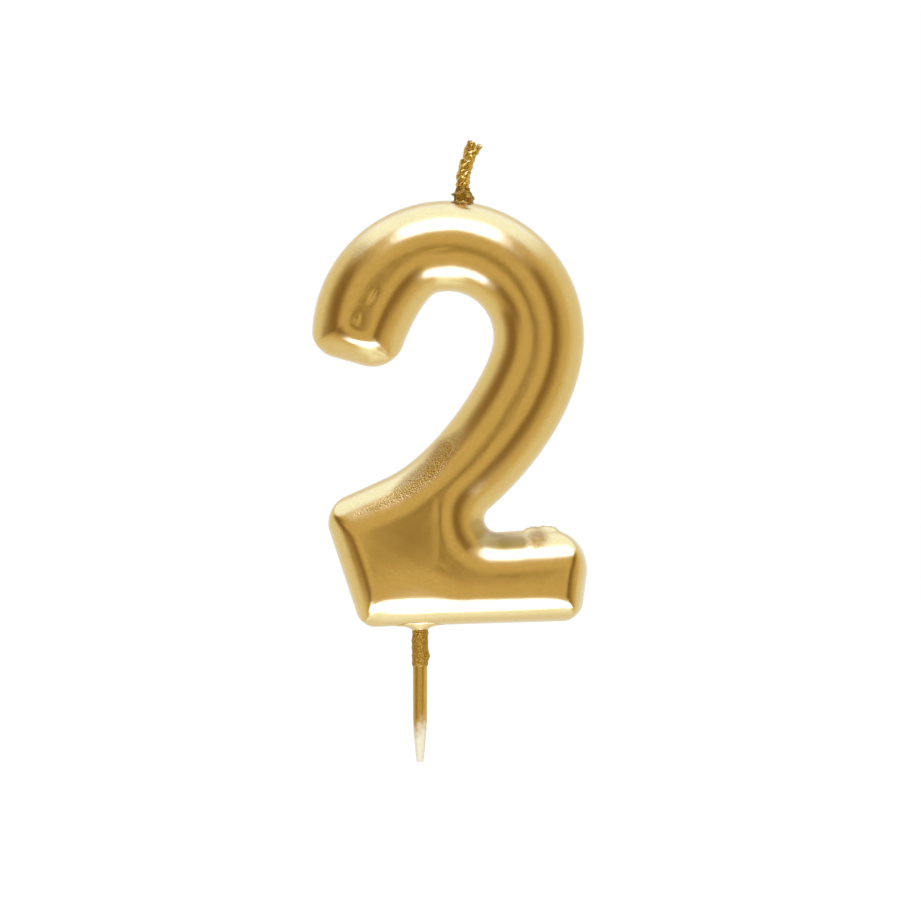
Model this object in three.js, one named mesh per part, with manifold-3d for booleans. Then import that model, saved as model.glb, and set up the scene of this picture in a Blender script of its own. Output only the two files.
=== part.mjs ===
// A number candle in the shape of a 2, in millimetres with +Z up and its front facing -Y.
// A cast wax numeral sits inside a thin metallic dip coat. A three-ply wick is sealed into
// the top by a lump of set lacquer, and a round wooden pick is pushed into the underside.
// The origin is on the pick's axis, level with the numeral's underside, where the cake's
// top is when the candle is in use.
import * as THREE from "three";
import { mergeVertices } from "three/addons/utils/BufferGeometryUtils.js";
import Module from "manifold-3d";

// The whole numeral
const FIGURE_HEIGHT = 64.1; // underside to the top of the bowl
const BODY_DEPTH = 12; // front to back
const SIDE_ROUND = 6.8; // how far in from a side the face is still curving
const BLOCK_ROUND = 4.2; // the same along the left of the block
const HOOK_ROUND = 4.6; // the same at the bowl's free end
const TOE_ROUND = 3.5; // the same at the foot's free end
const CROWN_RADIUS = 125; // a face falls away from its ridge as on a circle of this size

// The bowl, whose outer edge and counter are arcs about one centre
const BOWL_RADIUS = 20.4;
const BOWL_CENTRE_X = 4.2;
const STROKE_WIDTH = 13.6;

// The hook, the free end of the bowl: its two corners before rounding
const HOOK_OUTER_X = -15.75;
const HOOK_OUTER_DROP = 2.3; // below the bowl's centre
const HOOK_OUTER_REACH = 2.6;
const HOOK_INNER_X = -4.1;
const HOOK_INNER_DROP = 5.55;
const HOOK_INNER_REACH = 4.4;

// The notch between the diagonal and the foot
const NOTCH_X = 11.6;
const NOTCH_Z = 16.35;
const NOTCH_RADIUS = 1.95;
const RIDGE_ROUND = 2.6; // how far from its corner the ridge starts to turn

// The block, where the diagonal runs into the foot: its two corners before rounding
const NECK_X = -4.8; // where the diagonal's left edge turns out to the shoulder
const NECK_Z = 22.65;
const SHOULDER_X = -14.75;
const SHOULDER_Z = 18.1;
const SHOULDER_REACH = 3.75;
const HEEL_X = -8.8;
const HEEL_Z = 0.1;
const HEEL_REACH = 2.1;

// The toe, the free end of the foot: its two corners before rounding
const TOE_TOP_X = 26;
const TOE_TOP_Z = 15.3;
const TOE_TOP_REACH = 7.6;
const TOE_SOLE_X = 24.1;
const TOE_SOLE_Z = 1.1;
const TOE_SOLE_REACH = 2.7;

// The sole's edge, with a tight curve, a bevel and, under the block, a long slow fall
const SOLE_EDGE = 1.2;
const SOLE_BEVEL = 7; // how far in from the sole the bevel reaches
const FOOT_BEVEL_DROP = 2.9;
const BLOCK_BEVEL_DROP = 1.1;
const BLOCK_FALL = 14.5; // how far in from the sole the fall reaches
const BLOCK_FALL_DROP = 1.8;
const BLOCK_BLEND_LENGTH = 5.5; // length over which the block's sole turns into the foot's

// The scar on top of the foot where the casting's gate was trimmed off
const GATE_LENGTH = 5.4;
const GATE_WIDTH = 3.2;
const GATE_HEIGHT = 0.45;

// The dip coat
const COAT_WALL = 0.4;
const COAT_GAP = 0.2; // between the coat and the wax
const MENISCUS_DROP = 0.5; // how far the coat draws down the pick
const MENISCUS_REACH = 1.3; // how far from the pick it starts to

// The wick
const WICK_X = 6.4;
const PLY_RADIUS = 0.44;
const PLY_GAP = 0.13; // between two plies, on the level
const WICK_LAY_LENGTH = 5.2; // length of one turn of the plies
const WICK_EXPOSED = 8.7;
const WICK_LEAN = 1.9; // sideways reach of the free end
const WICK_EMBEDDED = 10.5;
const WICK_FRAY = 0.22; // how far each ply stands out at the free end
const WICK_CLEARANCE = 0.14; // round the wick, in its bore
const COLLAR_HEIGHT = 2; // the lump of lacquer round the wick's root
const COLLAR_BASE_RADIUS = 1.95;
const COLLAR_WAIST_RADIUS = 1.6;
const COLLAR_BRIM_RADIUS = 1.8; // where it flares out again above the waist

// The pick
const PICK_RADIUS = 1;
const PICK_EXPOSED = 20.1;
const PICK_EMBEDDED = 16;
const PICK_TIP_RADIUS = 0.48;
const PICK_TAPER = 7.2; // length of the pointed end
const PICK_CLEARANCE = 0.1; // round the pick, in its bore
const SLEEVE_LENGTH = 5.1; // the run of lacquer that set on the pick
const SLEEVE_WALL = 0.2;
const SEAT_GAP = 0.2; // between two pieces that bear on each other

const wasm = await Module();
wasm.setup();

const at = (x, z) => new THREE.Vector2(x, z);
const radians = THREE.MathUtils.degToRad;
const counterRadius = BOWL_RADIUS - STROKE_WIDTH;
const bowlCentre = at(BOWL_CENTRE_X, FIGURE_HEIGHT - BOWL_RADIUS);
const wickRadius = PLY_RADIUS + (2 * PLY_RADIUS + PLY_GAP) / Math.sqrt(3);
const wickBore = wickRadius + WICK_CLEARANCE;
const pickBore = PICK_RADIUS + PICK_CLEARANCE;

// Curves for the outline

const arc = (centre, radius, from, to) =>
  new THREE.EllipseCurve(centre.x, centre.y, radius, radius, radians(from), radians(to), from > to);

const headed = (degrees) => at(Math.cos(radians(degrees)), Math.sin(radians(degrees)));

// A smooth curve between two points that leaves and arrives at the given headings.
function blend(from, fromHeading, to, toHeading, fromPull, toPull) {
  const span = from.distanceTo(to);
  const leave = headed(fromHeading).multiplyScalar(span * fromPull).add(from);
  const arrive = headed(toHeading).multiplyScalar(-span * toPull).add(to);
  return new THREE.CubicBezierCurve(from, leave, arrive, to);
}

// A corner rounded over the given reach along both of its sides.
function corner(before, apex, after, reach) {
  const ROUND_PULL = 0.55; // near to a circle's arc
  const start = before.clone().sub(apex).setLength(reach).add(apex);
  const end = after.clone().sub(apex).setLength(reach).add(apex);
  const leave = start.clone().lerp(apex, ROUND_PULL);
  const arrive = end.clone().lerp(apex, ROUND_PULL);
  return new THREE.CubicBezierCurve(start, leave, arrive, end);
}

const straight = (curve, next) => new THREE.LineCurve(curve.getPoint(1), next.getPoint(0));

// How the face rises beside each side of the outline. A side's function gives the height
// over a point that is so far in from the outline, for a surface taken in by the inset.

// A quarter ellipse that is level from the rounding's distance on.
function roundedSide(round) {
  const height = (place, distance, inset) => {
    const left = 1 - Math.min(1, (distance - inset) / (round - inset));
    return (BODY_DEPTH / 2 - inset) * Math.sqrt(1 - left ** 2);
  };
  return { round, height };
}

// A tight curve and a bevel, and beyond them the block's slow fall.
function soleSide(blockEnd) {
  const height = (place, distance, inset) => {
    const { smoothstep, lerp } = THREE.MathUtils;
    const blendStart = blockEnd - BLOCK_BLEND_LENGTH / 3;
    const wide = 1 - smoothstep(place.x, blendStart, blendStart + BLOCK_BLEND_LENGTH);
    const bevelDrop = lerp(FOOT_BEVEL_DROP, BLOCK_BEVEL_DROP, wide);
    const bevel = bevelDrop * Math.max(0, 1 - distance / SOLE_BEVEL) ** 1.5;
    const fall = wide * BLOCK_FALL_DROP * Math.max(0, 1 - distance / BLOCK_FALL) ** 2;
    const left = 1 - Math.min(1, (distance - inset) / (SOLE_EDGE - inset));
    return (BODY_DEPTH / 2 - inset - bevel - fall) * Math.sqrt(1 - left ** 2);
  };
  return { round: SIDE_ROUND, height };
}

// The two sides of the stroke run together from the hook to the toe. Each stretch has an
// outer side, which starts as the outside of the bowl, and an inner side, which starts in
// the counter. The inner side and the two ends are lists of legs, each a curve and its
// number of steps. An outer side has as many steps as the inner side that it faces.
function strokeStretches() {
  const BOWL_START = 179; // degrees round the bowl's centre, where the hook's corner begins
  const BOWL_END = -7.5;
  const COUNTER_START = 104;
  const COUNTER_END = -16;
  const HOOK_SIDE_HEADING = 69.6;
  const NOTCH_START = 131;
  const NOTCH_END = 273.5;
  const NECK_HEADING = -153.7;
  const SOLE_SPLIT = 0.42; // share of the sole that belongs to the block
  const GATE_PLACE = 0.88; // share of the foot's straight top

  const hookOuter = at(HOOK_OUTER_X, bowlCentre.y - HOOK_OUTER_DROP);
  const hookInner = at(HOOK_INNER_X, bowlCentre.y - HOOK_INNER_DROP);
  const hookSideEnd = hookInner.clone().add(headed(HOOK_SIDE_HEADING));
  const neck = at(NECK_X, NECK_Z);
  const shoulder = at(SHOULDER_X, SHOULDER_Z);
  const heel = at(HEEL_X, HEEL_Z);
  const toeTop = at(TOE_TOP_X, TOE_TOP_Z);
  const toeSole = at(TOE_SOLE_X, TOE_SOLE_Z);
  const notchCentre = at(NOTCH_X, NOTCH_Z);

  const bowl = arc(bowlCentre, BOWL_RADIUS, BOWL_START, BOWL_END);
  const counter = arc(bowlCentre, counterRadius, COUNTER_START, COUNTER_END);
  const notch = arc(notchCentre, NOTCH_RADIUS, NOTCH_START, NOTCH_END);
  const hookOuterCorner = corner(bowl.getPoint(0), hookOuter, hookInner, HOOK_OUTER_REACH);
  const hookInnerCorner = corner(hookOuter, hookInner, hookSideEnd, HOOK_INNER_REACH);
  const hookSide = blend(
    hookInnerCorner.getPoint(1), HOOK_SIDE_HEADING,
    counter.getPoint(0), COUNTER_START - 90, 0.45, 0.15,
  );
  const outerDiagonal = blend(
    bowl.getPoint(1), BOWL_END - 90, notch.getPoint(0), NOTCH_START + 90, 0.315, 0.345,
  );
  const innerDiagonal = blend(
    counter.getPoint(1), COUNTER_END - 90, neck, NECK_HEADING, 0.21, 0.32,
  );
  const shoulderCorner = corner(neck, shoulder, heel, SHOULDER_REACH);
  const heelCorner = corner(shoulder, heel, toeSole, HEEL_REACH);
  const soleStart = heelCorner.getPoint(1);
  const toeSoleCorner = corner(toeTop, toeSole, heel, TOE_SOLE_REACH);
  const soleEnd = toeSoleCorner.getPoint(1);
  const soleMiddle = soleStart.clone().lerp(soleEnd, SOLE_SPLIT);
  const toeTopCorner = corner(notch.getPoint(1), toeTop, toeSole, TOE_TOP_REACH);

  // The ridge turns round the notch half a stroke away from it.
  const ridgeStart = neck.clone().lerp(notch.getPoint(0), 0.5);
  const ridgeEnd = soleMiddle.clone().lerp(notch.getPoint(1), 0.5);
  const notchSpan = NOTCH_RADIUS + STROKE_WIDTH / 2;
  const ridgeApex = at(NOTCH_X - notchSpan, NOTCH_Z - notchSpan);
  const ridgeBend = corner(ridgeStart, ridgeApex, ridgeEnd, RIDGE_ROUND);
  const ridge = new THREE.CurvePath();
  ridge.add(new THREE.LineCurve(ridgeStart, ridgeBend.getPoint(0)));
  ridge.add(ridgeBend);
  ridge.add(new THREE.LineCurve(ridgeBend.getPoint(1), ridgeEnd));

  const footTop = straight(notch, toeTopCorner);
  const shoulderTop = new THREE.LineCurve(neck, shoulderCorner.getPoint(0));
  const blockSide = straight(shoulderCorner, heelCorner);
  const blockSole = new THREE.LineCurve(soleStart, soleMiddle);
  const footSole = new THREE.LineCurve(soleMiddle, soleEnd);

  return {
    stretches: [
      { outer: bowl, inner: [[hookSide, 7], [counter, 17]] },
      { outer: outerDiagonal, inner: [[innerDiagonal, 11]] },
      { outer: notch,
        inner: [[shoulderTop, 3], [shoulderCorner, 6], [blockSide, 4], [heelCorner, 6],
          [blockSole, 4]],
        ridge },
      { outer: footTop, inner: [[footSole, 7]] },
    ],
    hookEnd: [[hookOuterCorner, 6], [straight(hookOuterCorner, hookInnerCorner), 4],
      [hookInnerCorner, 6]],
    toeEnd: [[toeTopCorner, 8], [straight(toeTopCorner, toeSoleCorner), 2],
      [toeSoleCorner, 6]],
    gate: footTop.getPoint(GATE_PLACE),
    // The outline's sides in the loop's order, each with the corner that it starts at
    sides: [
      { start: hookOuter, ...roundedSide(SIDE_ROUND) },
      { start: toeTop, ...roundedSide(TOE_ROUND) },
      { start: toeSole, ...soleSide(ridgeApex.x) },
      { start: heel, ...roundedSide(BLOCK_ROUND) },
      { start: shoulder, ...roundedSide(SIDE_ROUND) },
      { start: hookInner, ...roundedSide(HOOK_ROUND) },
    ],
  };
}

// Points along a list of legs.
function walk(legs, detail) {
  const points = [legs[0][0].getPoint(0)];
  for (const [curve, steps] of legs) {
    points.push(...curve.getSpacedPoints(Math.round(steps * detail)).slice(1));
  }
  return points;
}

// The outline as one closed, clockwise loop. Each point holds its place and the point of
// the ridge that it faces.
function outlinePoints(detail) {
  const { stretches, hookEnd, toeEnd } = strokeStretches();
  const outer = [];
  const inner = [];
  const ridge = [];
  stretches.forEach((stretch, index) => {
    const innerPoints = walk(stretch.inner, detail);
    const steps = innerPoints.length - 1;
    const outerPoints = stretch.outer.getSpacedPoints(steps);
    const ridgePoints = stretch.ridge?.getSpacedPoints(steps)
      ?? outerPoints.map((place, i) => place.clone().lerp(innerPoints[i], 0.5));
    for (let i = index ? 1 : 0; i <= steps; i += 1) {
      const facing = ridge.length;
      ridge.push(ridgePoints[i]);
      outer.push({ place: outerPoints[i], facing });
      inner.push({ place: innerPoints[i], facing });
    }
  });
  const cap = (legs, facing) => walk(legs, detail).map((place) => ({ place, facing }));
  const toe = cap(toeEnd, ridge.length - 1);
  const hook = cap(hookEnd, 0).reverse();
  const loop = [...outer, ...toe.slice(1, -1), ...inner.reverse(), ...hook.slice(1, -1)];
  return { loop, ridge };
}

// How far a place is from a run of points.
function distanceTo(run, place) {
  let nearest = Infinity;
  for (let i = 1; i < run.length; i += 1) {
    const along = run[i].clone().sub(run[i - 1]);
    const reached = place.clone().sub(run[i - 1]).dot(along) / along.lengthSq();
    const share = THREE.MathUtils.clamp(reached, 0, 1);
    nearest = Math.min(nearest, along.multiplyScalar(share).add(run[i - 1]).distanceTo(place));
  }
  return nearest;
}

// The face's height over any place inside the outline. Each side counts by how near it is,
// against its rounding, so the heights run into each other softly at the mitres.
function faceHeight(loop, ridge, inset) {
  const MITRE = 12; // the higher, the sharper the mitres
  const TOUCHING = 1e-3;
  const { sides } = strokeStretches();
  const places = loop.map(({ place }) => place);
  const cuts = sides.map(({ start }) => {
    const gaps = places.map((place) => place.distanceTo(start));
    return gaps.indexOf(Math.min(...gaps));
  });
  const runs = cuts.map((first, i) => {
    const last = cuts[(i + 1) % cuts.length];
    return first <= last ? places.slice(first, last + 1)
      : [...places.slice(first), ...places.slice(0, last + 1)];
  });
  return (place) => {
    let weights = 0;
    let sum = 0;
    sides.forEach(({ round, height }, i) => {
      const distance = distanceTo(runs[i], place);
      const weight = Math.max(TOUCHING, distance / round) ** -MITRE;
      weights += weight;
      sum += weight * height(place, Math.max(inset, distance), inset);
    });
    const fall = distanceTo(ridge, place) ** 2 / (CROWN_RADIUS * BODY_DEPTH);
    return (sum / weights) * (1 - fall);
  };
}

// The inward normal at each point of a clockwise loop.
function inwardNormals(loop) {
  return loop.map((_, i) => {
    const before = loop[(i + loop.length - 1) % loop.length].place;
    const after = loop[(i + 1) % loop.length].place;
    const along = after.clone().sub(before).normalize();
    return at(along.y, -along.x);
  });
}

// The puffed numeral, its surface taken in by the given inset. Rings run from the outline
// in to the ridge on both faces, and share the ring on the outline.
function numeral(inset, detail, curveSteps) {
  const LEVEL_STEPS = 2; // facets from the end of the curve to the ridge
  const MOST_CURVE = 0.94; // share of the way to the ridge
  const LEAST_FACING = 0.5; // the least cosine between a normal and the way to the ridge
  const { loop, ridge } = outlinePoints(detail);
  const heightAt = faceHeight(loop, ridge, inset);
  const normals = inwardNormals(loop);
  const starts = loop.map(({ place }, i) =>
    normals[i].clone().multiplyScalar(inset).add(place));
  const ways = loop.map(({ facing }, i) => ridge[facing].clone().sub(starts[i]));
  const reaches = ways.map((way, i) => {
    const facing = Math.max(LEAST_FACING, normals[i].dot(way) / way.length());
    return Math.min((SIDE_ROUND - inset) / facing, MOST_CURVE * way.length());
  });

  const rings = [starts];
  for (let step = 1; step <= curveSteps; step += 1) {
    const share = 1 - Math.cos((step / curveSteps) * (Math.PI / 2));
    rings.push(ways.map((way, i) => way.clone().setLength(reaches[i] * share).add(starts[i])));
  }
  for (let step = 1; step < LEVEL_STEPS; step += 1) {
    const curved = rings[curveSteps];
    rings.push(curved.map((place, i) =>
      place.clone().lerp(ridge[loop[i].facing], step / LEVEL_STEPS)));
  }

  const positions = [];
  const triangles = [];
  const count = loop.length;
  const addPlaces = (places, side) => {
    const first = positions.length / 3;
    for (const place of places) positions.push(place.x, side * heightAt(place), place.y);
    return first;
  };
  const FRONT = -1;
  const BACK = 1;
  const rim = addPlaces(starts, 0);
  for (const side of [FRONT, BACK]) {
    const firsts = [rim, ...rings.slice(1).map((ring) => addPlaces(ring, side))];
    const firstRidge = addPlaces(ridge, side);
    const push = (a, b, c) => {
      if (a === b || b === c || a === c) return;
      triangles.push(...(side === FRONT ? [a, b, c] : [a, c, b]));
    };
    for (let i = 0; i < count; i += 1) {
      const next = (i + 1) % count;
      for (let step = 1; step < firsts.length; step += 1) {
        const [outside, inside] = [firsts[step - 1], firsts[step]];
        push(outside + i, inside + i, inside + next);
        push(outside + i, inside + next, outside + next);
      }
      const last = firsts.at(-1);
      const [here, there] = [firstRidge + loop[i].facing, firstRidge + loop[next].facing];
      push(last + i, here, there);
      push(last + i, there, last + next);
    }
  }
  return new THREE.BufferGeometry()
    .setAttribute("position", new THREE.Float32BufferAttribute(positions, 3))
    .setIndex(triangles);
}

// Solids for cutting and joining

function solid(geometry) {
  const bare = new THREE.BufferGeometry()
    .setAttribute("position", geometry.getAttribute("position"))
    .setIndex(geometry.index);
  const merged = mergeVertices(bare, 1e-4);
  return new wasm.Manifold(new wasm.Mesh({
    numProp: 3,
    vertProperties: merged.getAttribute("position").array,
    triVerts: new Uint32Array(merged.index.array),
  }));
}

function geometryOf(manifold) {
  const { vertProperties, triVerts } = manifold.getMesh();
  return new THREE.BufferGeometry()
    .setAttribute("position", new THREE.BufferAttribute(vertProperties, 3))
    .setIndex(new THREE.BufferAttribute(triVerts, 1));
}

// A profile of [radius, height] pairs turned about an upright axis.
function turned(profile, x, sides) {
  const points = profile.map(([radius, height]) => at(radius, height));
  return new THREE.LatheGeometry(points, sides).rotateX(Math.PI / 2).translate(x, 0, 0);
}

const upright = (radius, low, high, x, sides) =>
  turned([[0, low], [radius, low], [radius, high], [0, high]], x, sides);

// A ring round an upright axis. Its bore is plain, and its outer face is at the radius that
// outside(angle, share of the height) gives.
function lumpyRing({ bore, low, high, x, sides, rows, outside }) {
  const positions = [];
  const triangles = [];
  const loopLength = rows + 3;
  for (let side = 0; side < sides; side += 1) {
    const angle = (side / sides) * Math.PI * 2;
    const put = (radius, height) =>
      positions.push(x + radius * Math.cos(angle), radius * Math.sin(angle), height);
    put(bore, high);
    put(bore, low);
    for (let row = 0; row <= rows; row += 1) {
      const share = row / rows;
      put(outside(angle, share), low + (high - low) * share);
    }
  }
  for (let side = 0; side < sides; side += 1) {
    const here = side * loopLength;
    const next = ((side + 1) % sides) * loopLength;
    for (let i = 0; i < loopLength; i += 1) {
      const j = (i + 1) % loopLength;
      triangles.push(here + i, next + j, here + j);
      triangles.push(here + i, next + i, next + j);
    }
  }
  return new THREE.BufferGeometry()
    .setAttribute("position", new THREE.Float32BufferAttribute(positions, 3))
    .setIndex(triangles);
}

// The coat and the wax

const COAT_DETAIL = 1; // how finely the outline is sampled
const HIDDEN_DETAIL = 0.72;
const COAT_STEPS = 6; // facets from a face's edge to the end of its curve
const HIDDEN_STEPS = 4;
const BORE_SIDES = 20;

const bowlTop = (x) => bowlCentre.y + Math.sqrt(BOWL_RADIUS ** 2 - (x - bowlCentre.x) ** 2);
const wickSeat = bowlTop(WICK_X);
const WELL_ABOVE = BODY_DEPTH; // a cutter's length past the surface that it opens

// The coat drawn down round the pick: a hollow fillet that ends just below the underside.
function meniscus() {
  const STEPS = 5;
  const inner = pickBore + COAT_WALL;
  const profile = [[0, -MENISCUS_DROP], [inner, -MENISCUS_DROP]];
  for (let step = 1; step <= STEPS; step += 1) {
    const angle = (step / STEPS) * (Math.PI / 2);
    const radius = inner + MENISCUS_REACH * (1 - Math.cos(angle));
    profile.push([radius, -MENISCUS_DROP + 2 * MENISCUS_DROP * Math.sin(angle)]);
  }
  const rim = profile.at(-1)[0];
  profile.push([rim, 2 * MENISCUS_DROP], [0, 2 * MENISCUS_DROP]);
  return turned(profile, 0, BORE_SIDES);
}

// A low lens of wax left standing, its middle on the foot's edge.
function gateScar() {
  const { gate } = strokeStretches();
  const lens = new THREE.SphereGeometry(1, 18, 12);
  return lens.scale(GATE_LENGTH / 2, GATE_WIDTH / 2, GATE_HEIGHT).translate(gate.x, 0, gate.y);
}

function dipCoat() {
  const cavity = solid(numeral(COAT_WALL, HIDDEN_DETAIL, HIDDEN_STEPS));
  const wickHole = upright(wickBore, wickSeat - WELL_ABOVE / 4, wickSeat + WELL_ABOVE, WICK_X, BORE_SIDES);
  const pickHole = upright(pickBore, -WELL_ABOVE, WELL_ABOVE / 4, 0, BORE_SIDES);
  return geometryOf(
    solid(numeral(0, COAT_DETAIL, COAT_STEPS))
      .add(solid(meniscus()))
      .add(solid(gateScar()))
      .subtract(cavity)
      .subtract(solid(wickHole))
      .subtract(solid(pickHole)),
  );
}

function waxCore() {
  const inset = COAT_WALL + COAT_GAP;
  const wickFloor = wickSeat - WICK_EMBEDDED - SEAT_GAP;
  const pickRoof = PICK_EMBEDDED + SEAT_GAP;
  return geometryOf(
    solid(numeral(inset, HIDDEN_DETAIL, HIDDEN_STEPS))
      .subtract(solid(upright(wickBore, wickFloor, wickSeat + WELL_ABOVE, WICK_X, BORE_SIDES)))
      .subtract(solid(upright(pickBore, -WELL_ABOVE, pickRoof, 0, BORE_SIDES))),
  );
}

// The wick

// The wick's centre line: straight up out of the wax and its collar, then leaning over.
function wickLine() {
  const foot = wickSeat - WICK_EMBEDDED;
  const straightTop = wickSeat + COLLAR_HEIGHT;
  const free = WICK_EXPOSED - COLLAR_HEIGHT;
  const leaning = (share) =>
    new THREE.Vector3(WICK_X + WICK_LEAN * share ** 2, 0, straightTop + free * share);
  return new THREE.CatmullRomCurve3([
    new THREE.Vector3(WICK_X, 0, foot),
    new THREE.Vector3(WICK_X, 0, (foot + straightTop) / 2),
    ...[0, 0.25, 0.5, 0.75, 1].map(leaning),
  ]);
}

// One ply of the wick: a helix round the wick's centre line, opening out at the free end.
class PlyLine extends THREE.Curve {
  constructor(line, phase) {
    super();
    this.line = line;
    this.phase = phase;
  }

  getPoint(share, target = new THREE.Vector3()) {
    const FRAY_START = 0.93; // share of the wick's length where the plies part
    const centre = this.line.getPointAt(share);
    const tangent = this.line.getTangentAt(share);
    const across = new THREE.Vector3(tangent.z, 0, -tangent.x);
    const turn = this.phase + (share * this.line.getLength() * Math.PI * 2) / WICK_LAY_LENGTH;
    const fray = THREE.MathUtils.smoothstep(share, FRAY_START, 1) * WICK_FRAY;
    const radius = wickRadius - PLY_RADIUS + fray;
    target.copy(centre).addScaledVector(across, radius * Math.cos(turn));
    target.y += radius * Math.sin(turn);
    return target;
  }
}

function ply(index) {
  const SIDES = 8;
  const STEPS_A_TURN = 8;
  const line = wickLine();
  const section = new THREE.Shape(
    Array.from({ length: SIDES }, (_, i) => headed((360 * i) / SIDES).multiplyScalar(PLY_RADIUS)),
  );
  return new THREE.ExtrudeGeometry(section, {
    steps: Math.round((STEPS_A_TURN * line.getLength()) / WICK_LAY_LENGTH),
    bevelEnabled: false,
    extrudePath: new PlyLine(line, (index * Math.PI * 2) / 3),
  });
}

// The lump of lacquer that seals the wick's root, cut to sit on the coat.
function wickCollar() {
  const SKIRT = 0.9; // how far it would reach below the top of the bowl, before the cut
  const ring = lumpyRing({
    bore: wickBore,
    low: wickSeat - SKIRT,
    high: wickSeat + COLLAR_HEIGHT - SEAT_GAP,
    x: WICK_X,
    sides: 24,
    rows: 8,
    outside: (angle, share) => {
      const WAIST = 0.55; // share of the ring's height
      const { smoothstep, lerp } = THREE.MathUtils;
      const waist = lerp(COLLAR_BASE_RADIUS, COLLAR_WAIST_RADIUS, smoothstep(share, 0.2, WAIST));
      const brim = lerp(0, COLLAR_BRIM_RADIUS - COLLAR_WAIST_RADIUS, smoothstep(share, WAIST, 0.8));
      const lumps = 0.05 * Math.sin(3 * angle + 5 * share) + 0.03 * Math.sin(7 * angle - 9 * share);
      return (waist + brim) * (1 + lumps);
    },
  });
  return geometryOf(solid(ring).subtract(solid(numeral(-SEAT_GAP, COAT_DETAIL, COAT_STEPS))));
}

// The pick and the lacquer that ran down it

function pick() {
  const TAPER_STEPS = 5;
  const TAPER_CURVE = 1.6; // above 1 the point bulges
  const CHAMFER = 0.2;
  const tip = -PICK_EXPOSED;
  const profile = [[0, tip], [PICK_TIP_RADIUS, tip]];
  for (let step = 1; step <= TAPER_STEPS; step += 1) {
    const share = step / TAPER_STEPS;
    const swell = 1 - (1 - share) ** TAPER_CURVE;
    const radius = PICK_TIP_RADIUS + (PICK_RADIUS - PICK_TIP_RADIUS) * swell;
    profile.push([radius, tip + PICK_TAPER * share]);
  }
  profile.push(
    [PICK_RADIUS, PICK_EMBEDDED - CHAMFER],
    [PICK_RADIUS - CHAMFER, PICK_EMBEDDED],
    [0, PICK_EMBEDDED],
  );
  return turned(profile, 0, BORE_SIDES);
}

function pickSleeve() {
  const high = -MENISCUS_DROP - SEAT_GAP;
  // Beads on the sleeve: angle in degrees, share of the height, size and spread.
  const BEADS = [
    { angle: 5, share: 0.32, size: 0.36, spread: 0.16 },
    { angle: 175, share: 0.14, size: 0.12, spread: 0.1 },
    { angle: 10, share: 0.9, size: 0.14, spread: 0.12 },
    { angle: 120, share: 0.5, size: 0.16, spread: 0.15 },
    { angle: 250, share: 0.65, size: 0.15, spread: 0.16 },
    { angle: 300, share: 0.2, size: 0.14, spread: 0.14 },
  ];
  return lumpyRing({
    bore: pickBore,
    low: high - SLEEVE_LENGTH,
    high,
    x: 0,
    sides: BORE_SIDES,
    rows: 10,
    outside: (angle, share) => {
      const thin = THREE.MathUtils.smoothstep(share, 0, 0.12);
      let wall = SLEEVE_WALL * (0.4 + 0.6 * thin);
      for (const bead of BEADS) {
        const round = (1 - Math.cos(angle - radians(bead.angle))) / 2;
        const away = round + ((share - bead.share) / bead.spread) ** 2;
        wall += bead.size * Math.exp(-away * 2.5);
      }
      return pickBore + wall;
    },
  });
}

// The candle

const lacquer = () => new THREE.MeshStandardMaterial({ color: 0xc9a050, roughness: 0.28, metalness: 1 });
const wax = new THREE.MeshStandardMaterial({ color: 0xf3ecdc, roughness: 0.6, metalness: 0 });
const wood = new THREE.MeshStandardMaterial({ color: 0xe6d3a8, roughness: 0.7, metalness: 0 });

function piece(name, geometry, material) {
  const mesh = new THREE.Mesh(geometry, material);
  mesh.name = name;
  geometry.computeVertexNormals();
  return mesh;
}

const candle = new THREE.Group();
candle.add(piece("wax_core", waxCore(), wax));
candle.add(piece("dip_coat", dipCoat(), lacquer()));
for (let index = 0; index < 3; index += 1) {
  candle.add(piece(`wick_ply_${index + 1}`, ply(index), lacquer()));
}
candle.add(piece("wick_collar", wickCollar(), lacquer()));
candle.add(piece("pick", pick(), wood));
candle.add(piece("pick_sleeve", pickSleeve(), lacquer()));

export default candle;
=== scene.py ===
"""A candle in the shape of a 2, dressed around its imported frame.

The numeral's coat, the wick, the two lumps of set lacquer and the pick are surfaces worked
out from formulas, each over the solid that it stands for. All lengths here are in
millimetres until a mesh is made, except the studio's, and the front faces -Y.
"""
import math

import bpy
import numpy as np
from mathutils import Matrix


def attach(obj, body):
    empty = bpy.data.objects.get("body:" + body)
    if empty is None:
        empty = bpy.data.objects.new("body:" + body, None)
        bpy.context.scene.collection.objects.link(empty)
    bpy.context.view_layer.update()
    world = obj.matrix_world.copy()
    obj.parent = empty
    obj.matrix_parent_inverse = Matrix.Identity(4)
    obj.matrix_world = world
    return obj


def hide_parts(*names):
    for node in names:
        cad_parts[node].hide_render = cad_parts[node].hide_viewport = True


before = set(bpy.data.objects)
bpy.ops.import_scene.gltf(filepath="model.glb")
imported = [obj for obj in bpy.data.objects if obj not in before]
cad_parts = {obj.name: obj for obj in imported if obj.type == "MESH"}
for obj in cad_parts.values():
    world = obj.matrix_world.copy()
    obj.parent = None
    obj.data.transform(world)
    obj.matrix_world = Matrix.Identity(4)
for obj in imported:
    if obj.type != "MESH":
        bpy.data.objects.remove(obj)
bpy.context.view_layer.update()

MM = 0.001

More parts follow.
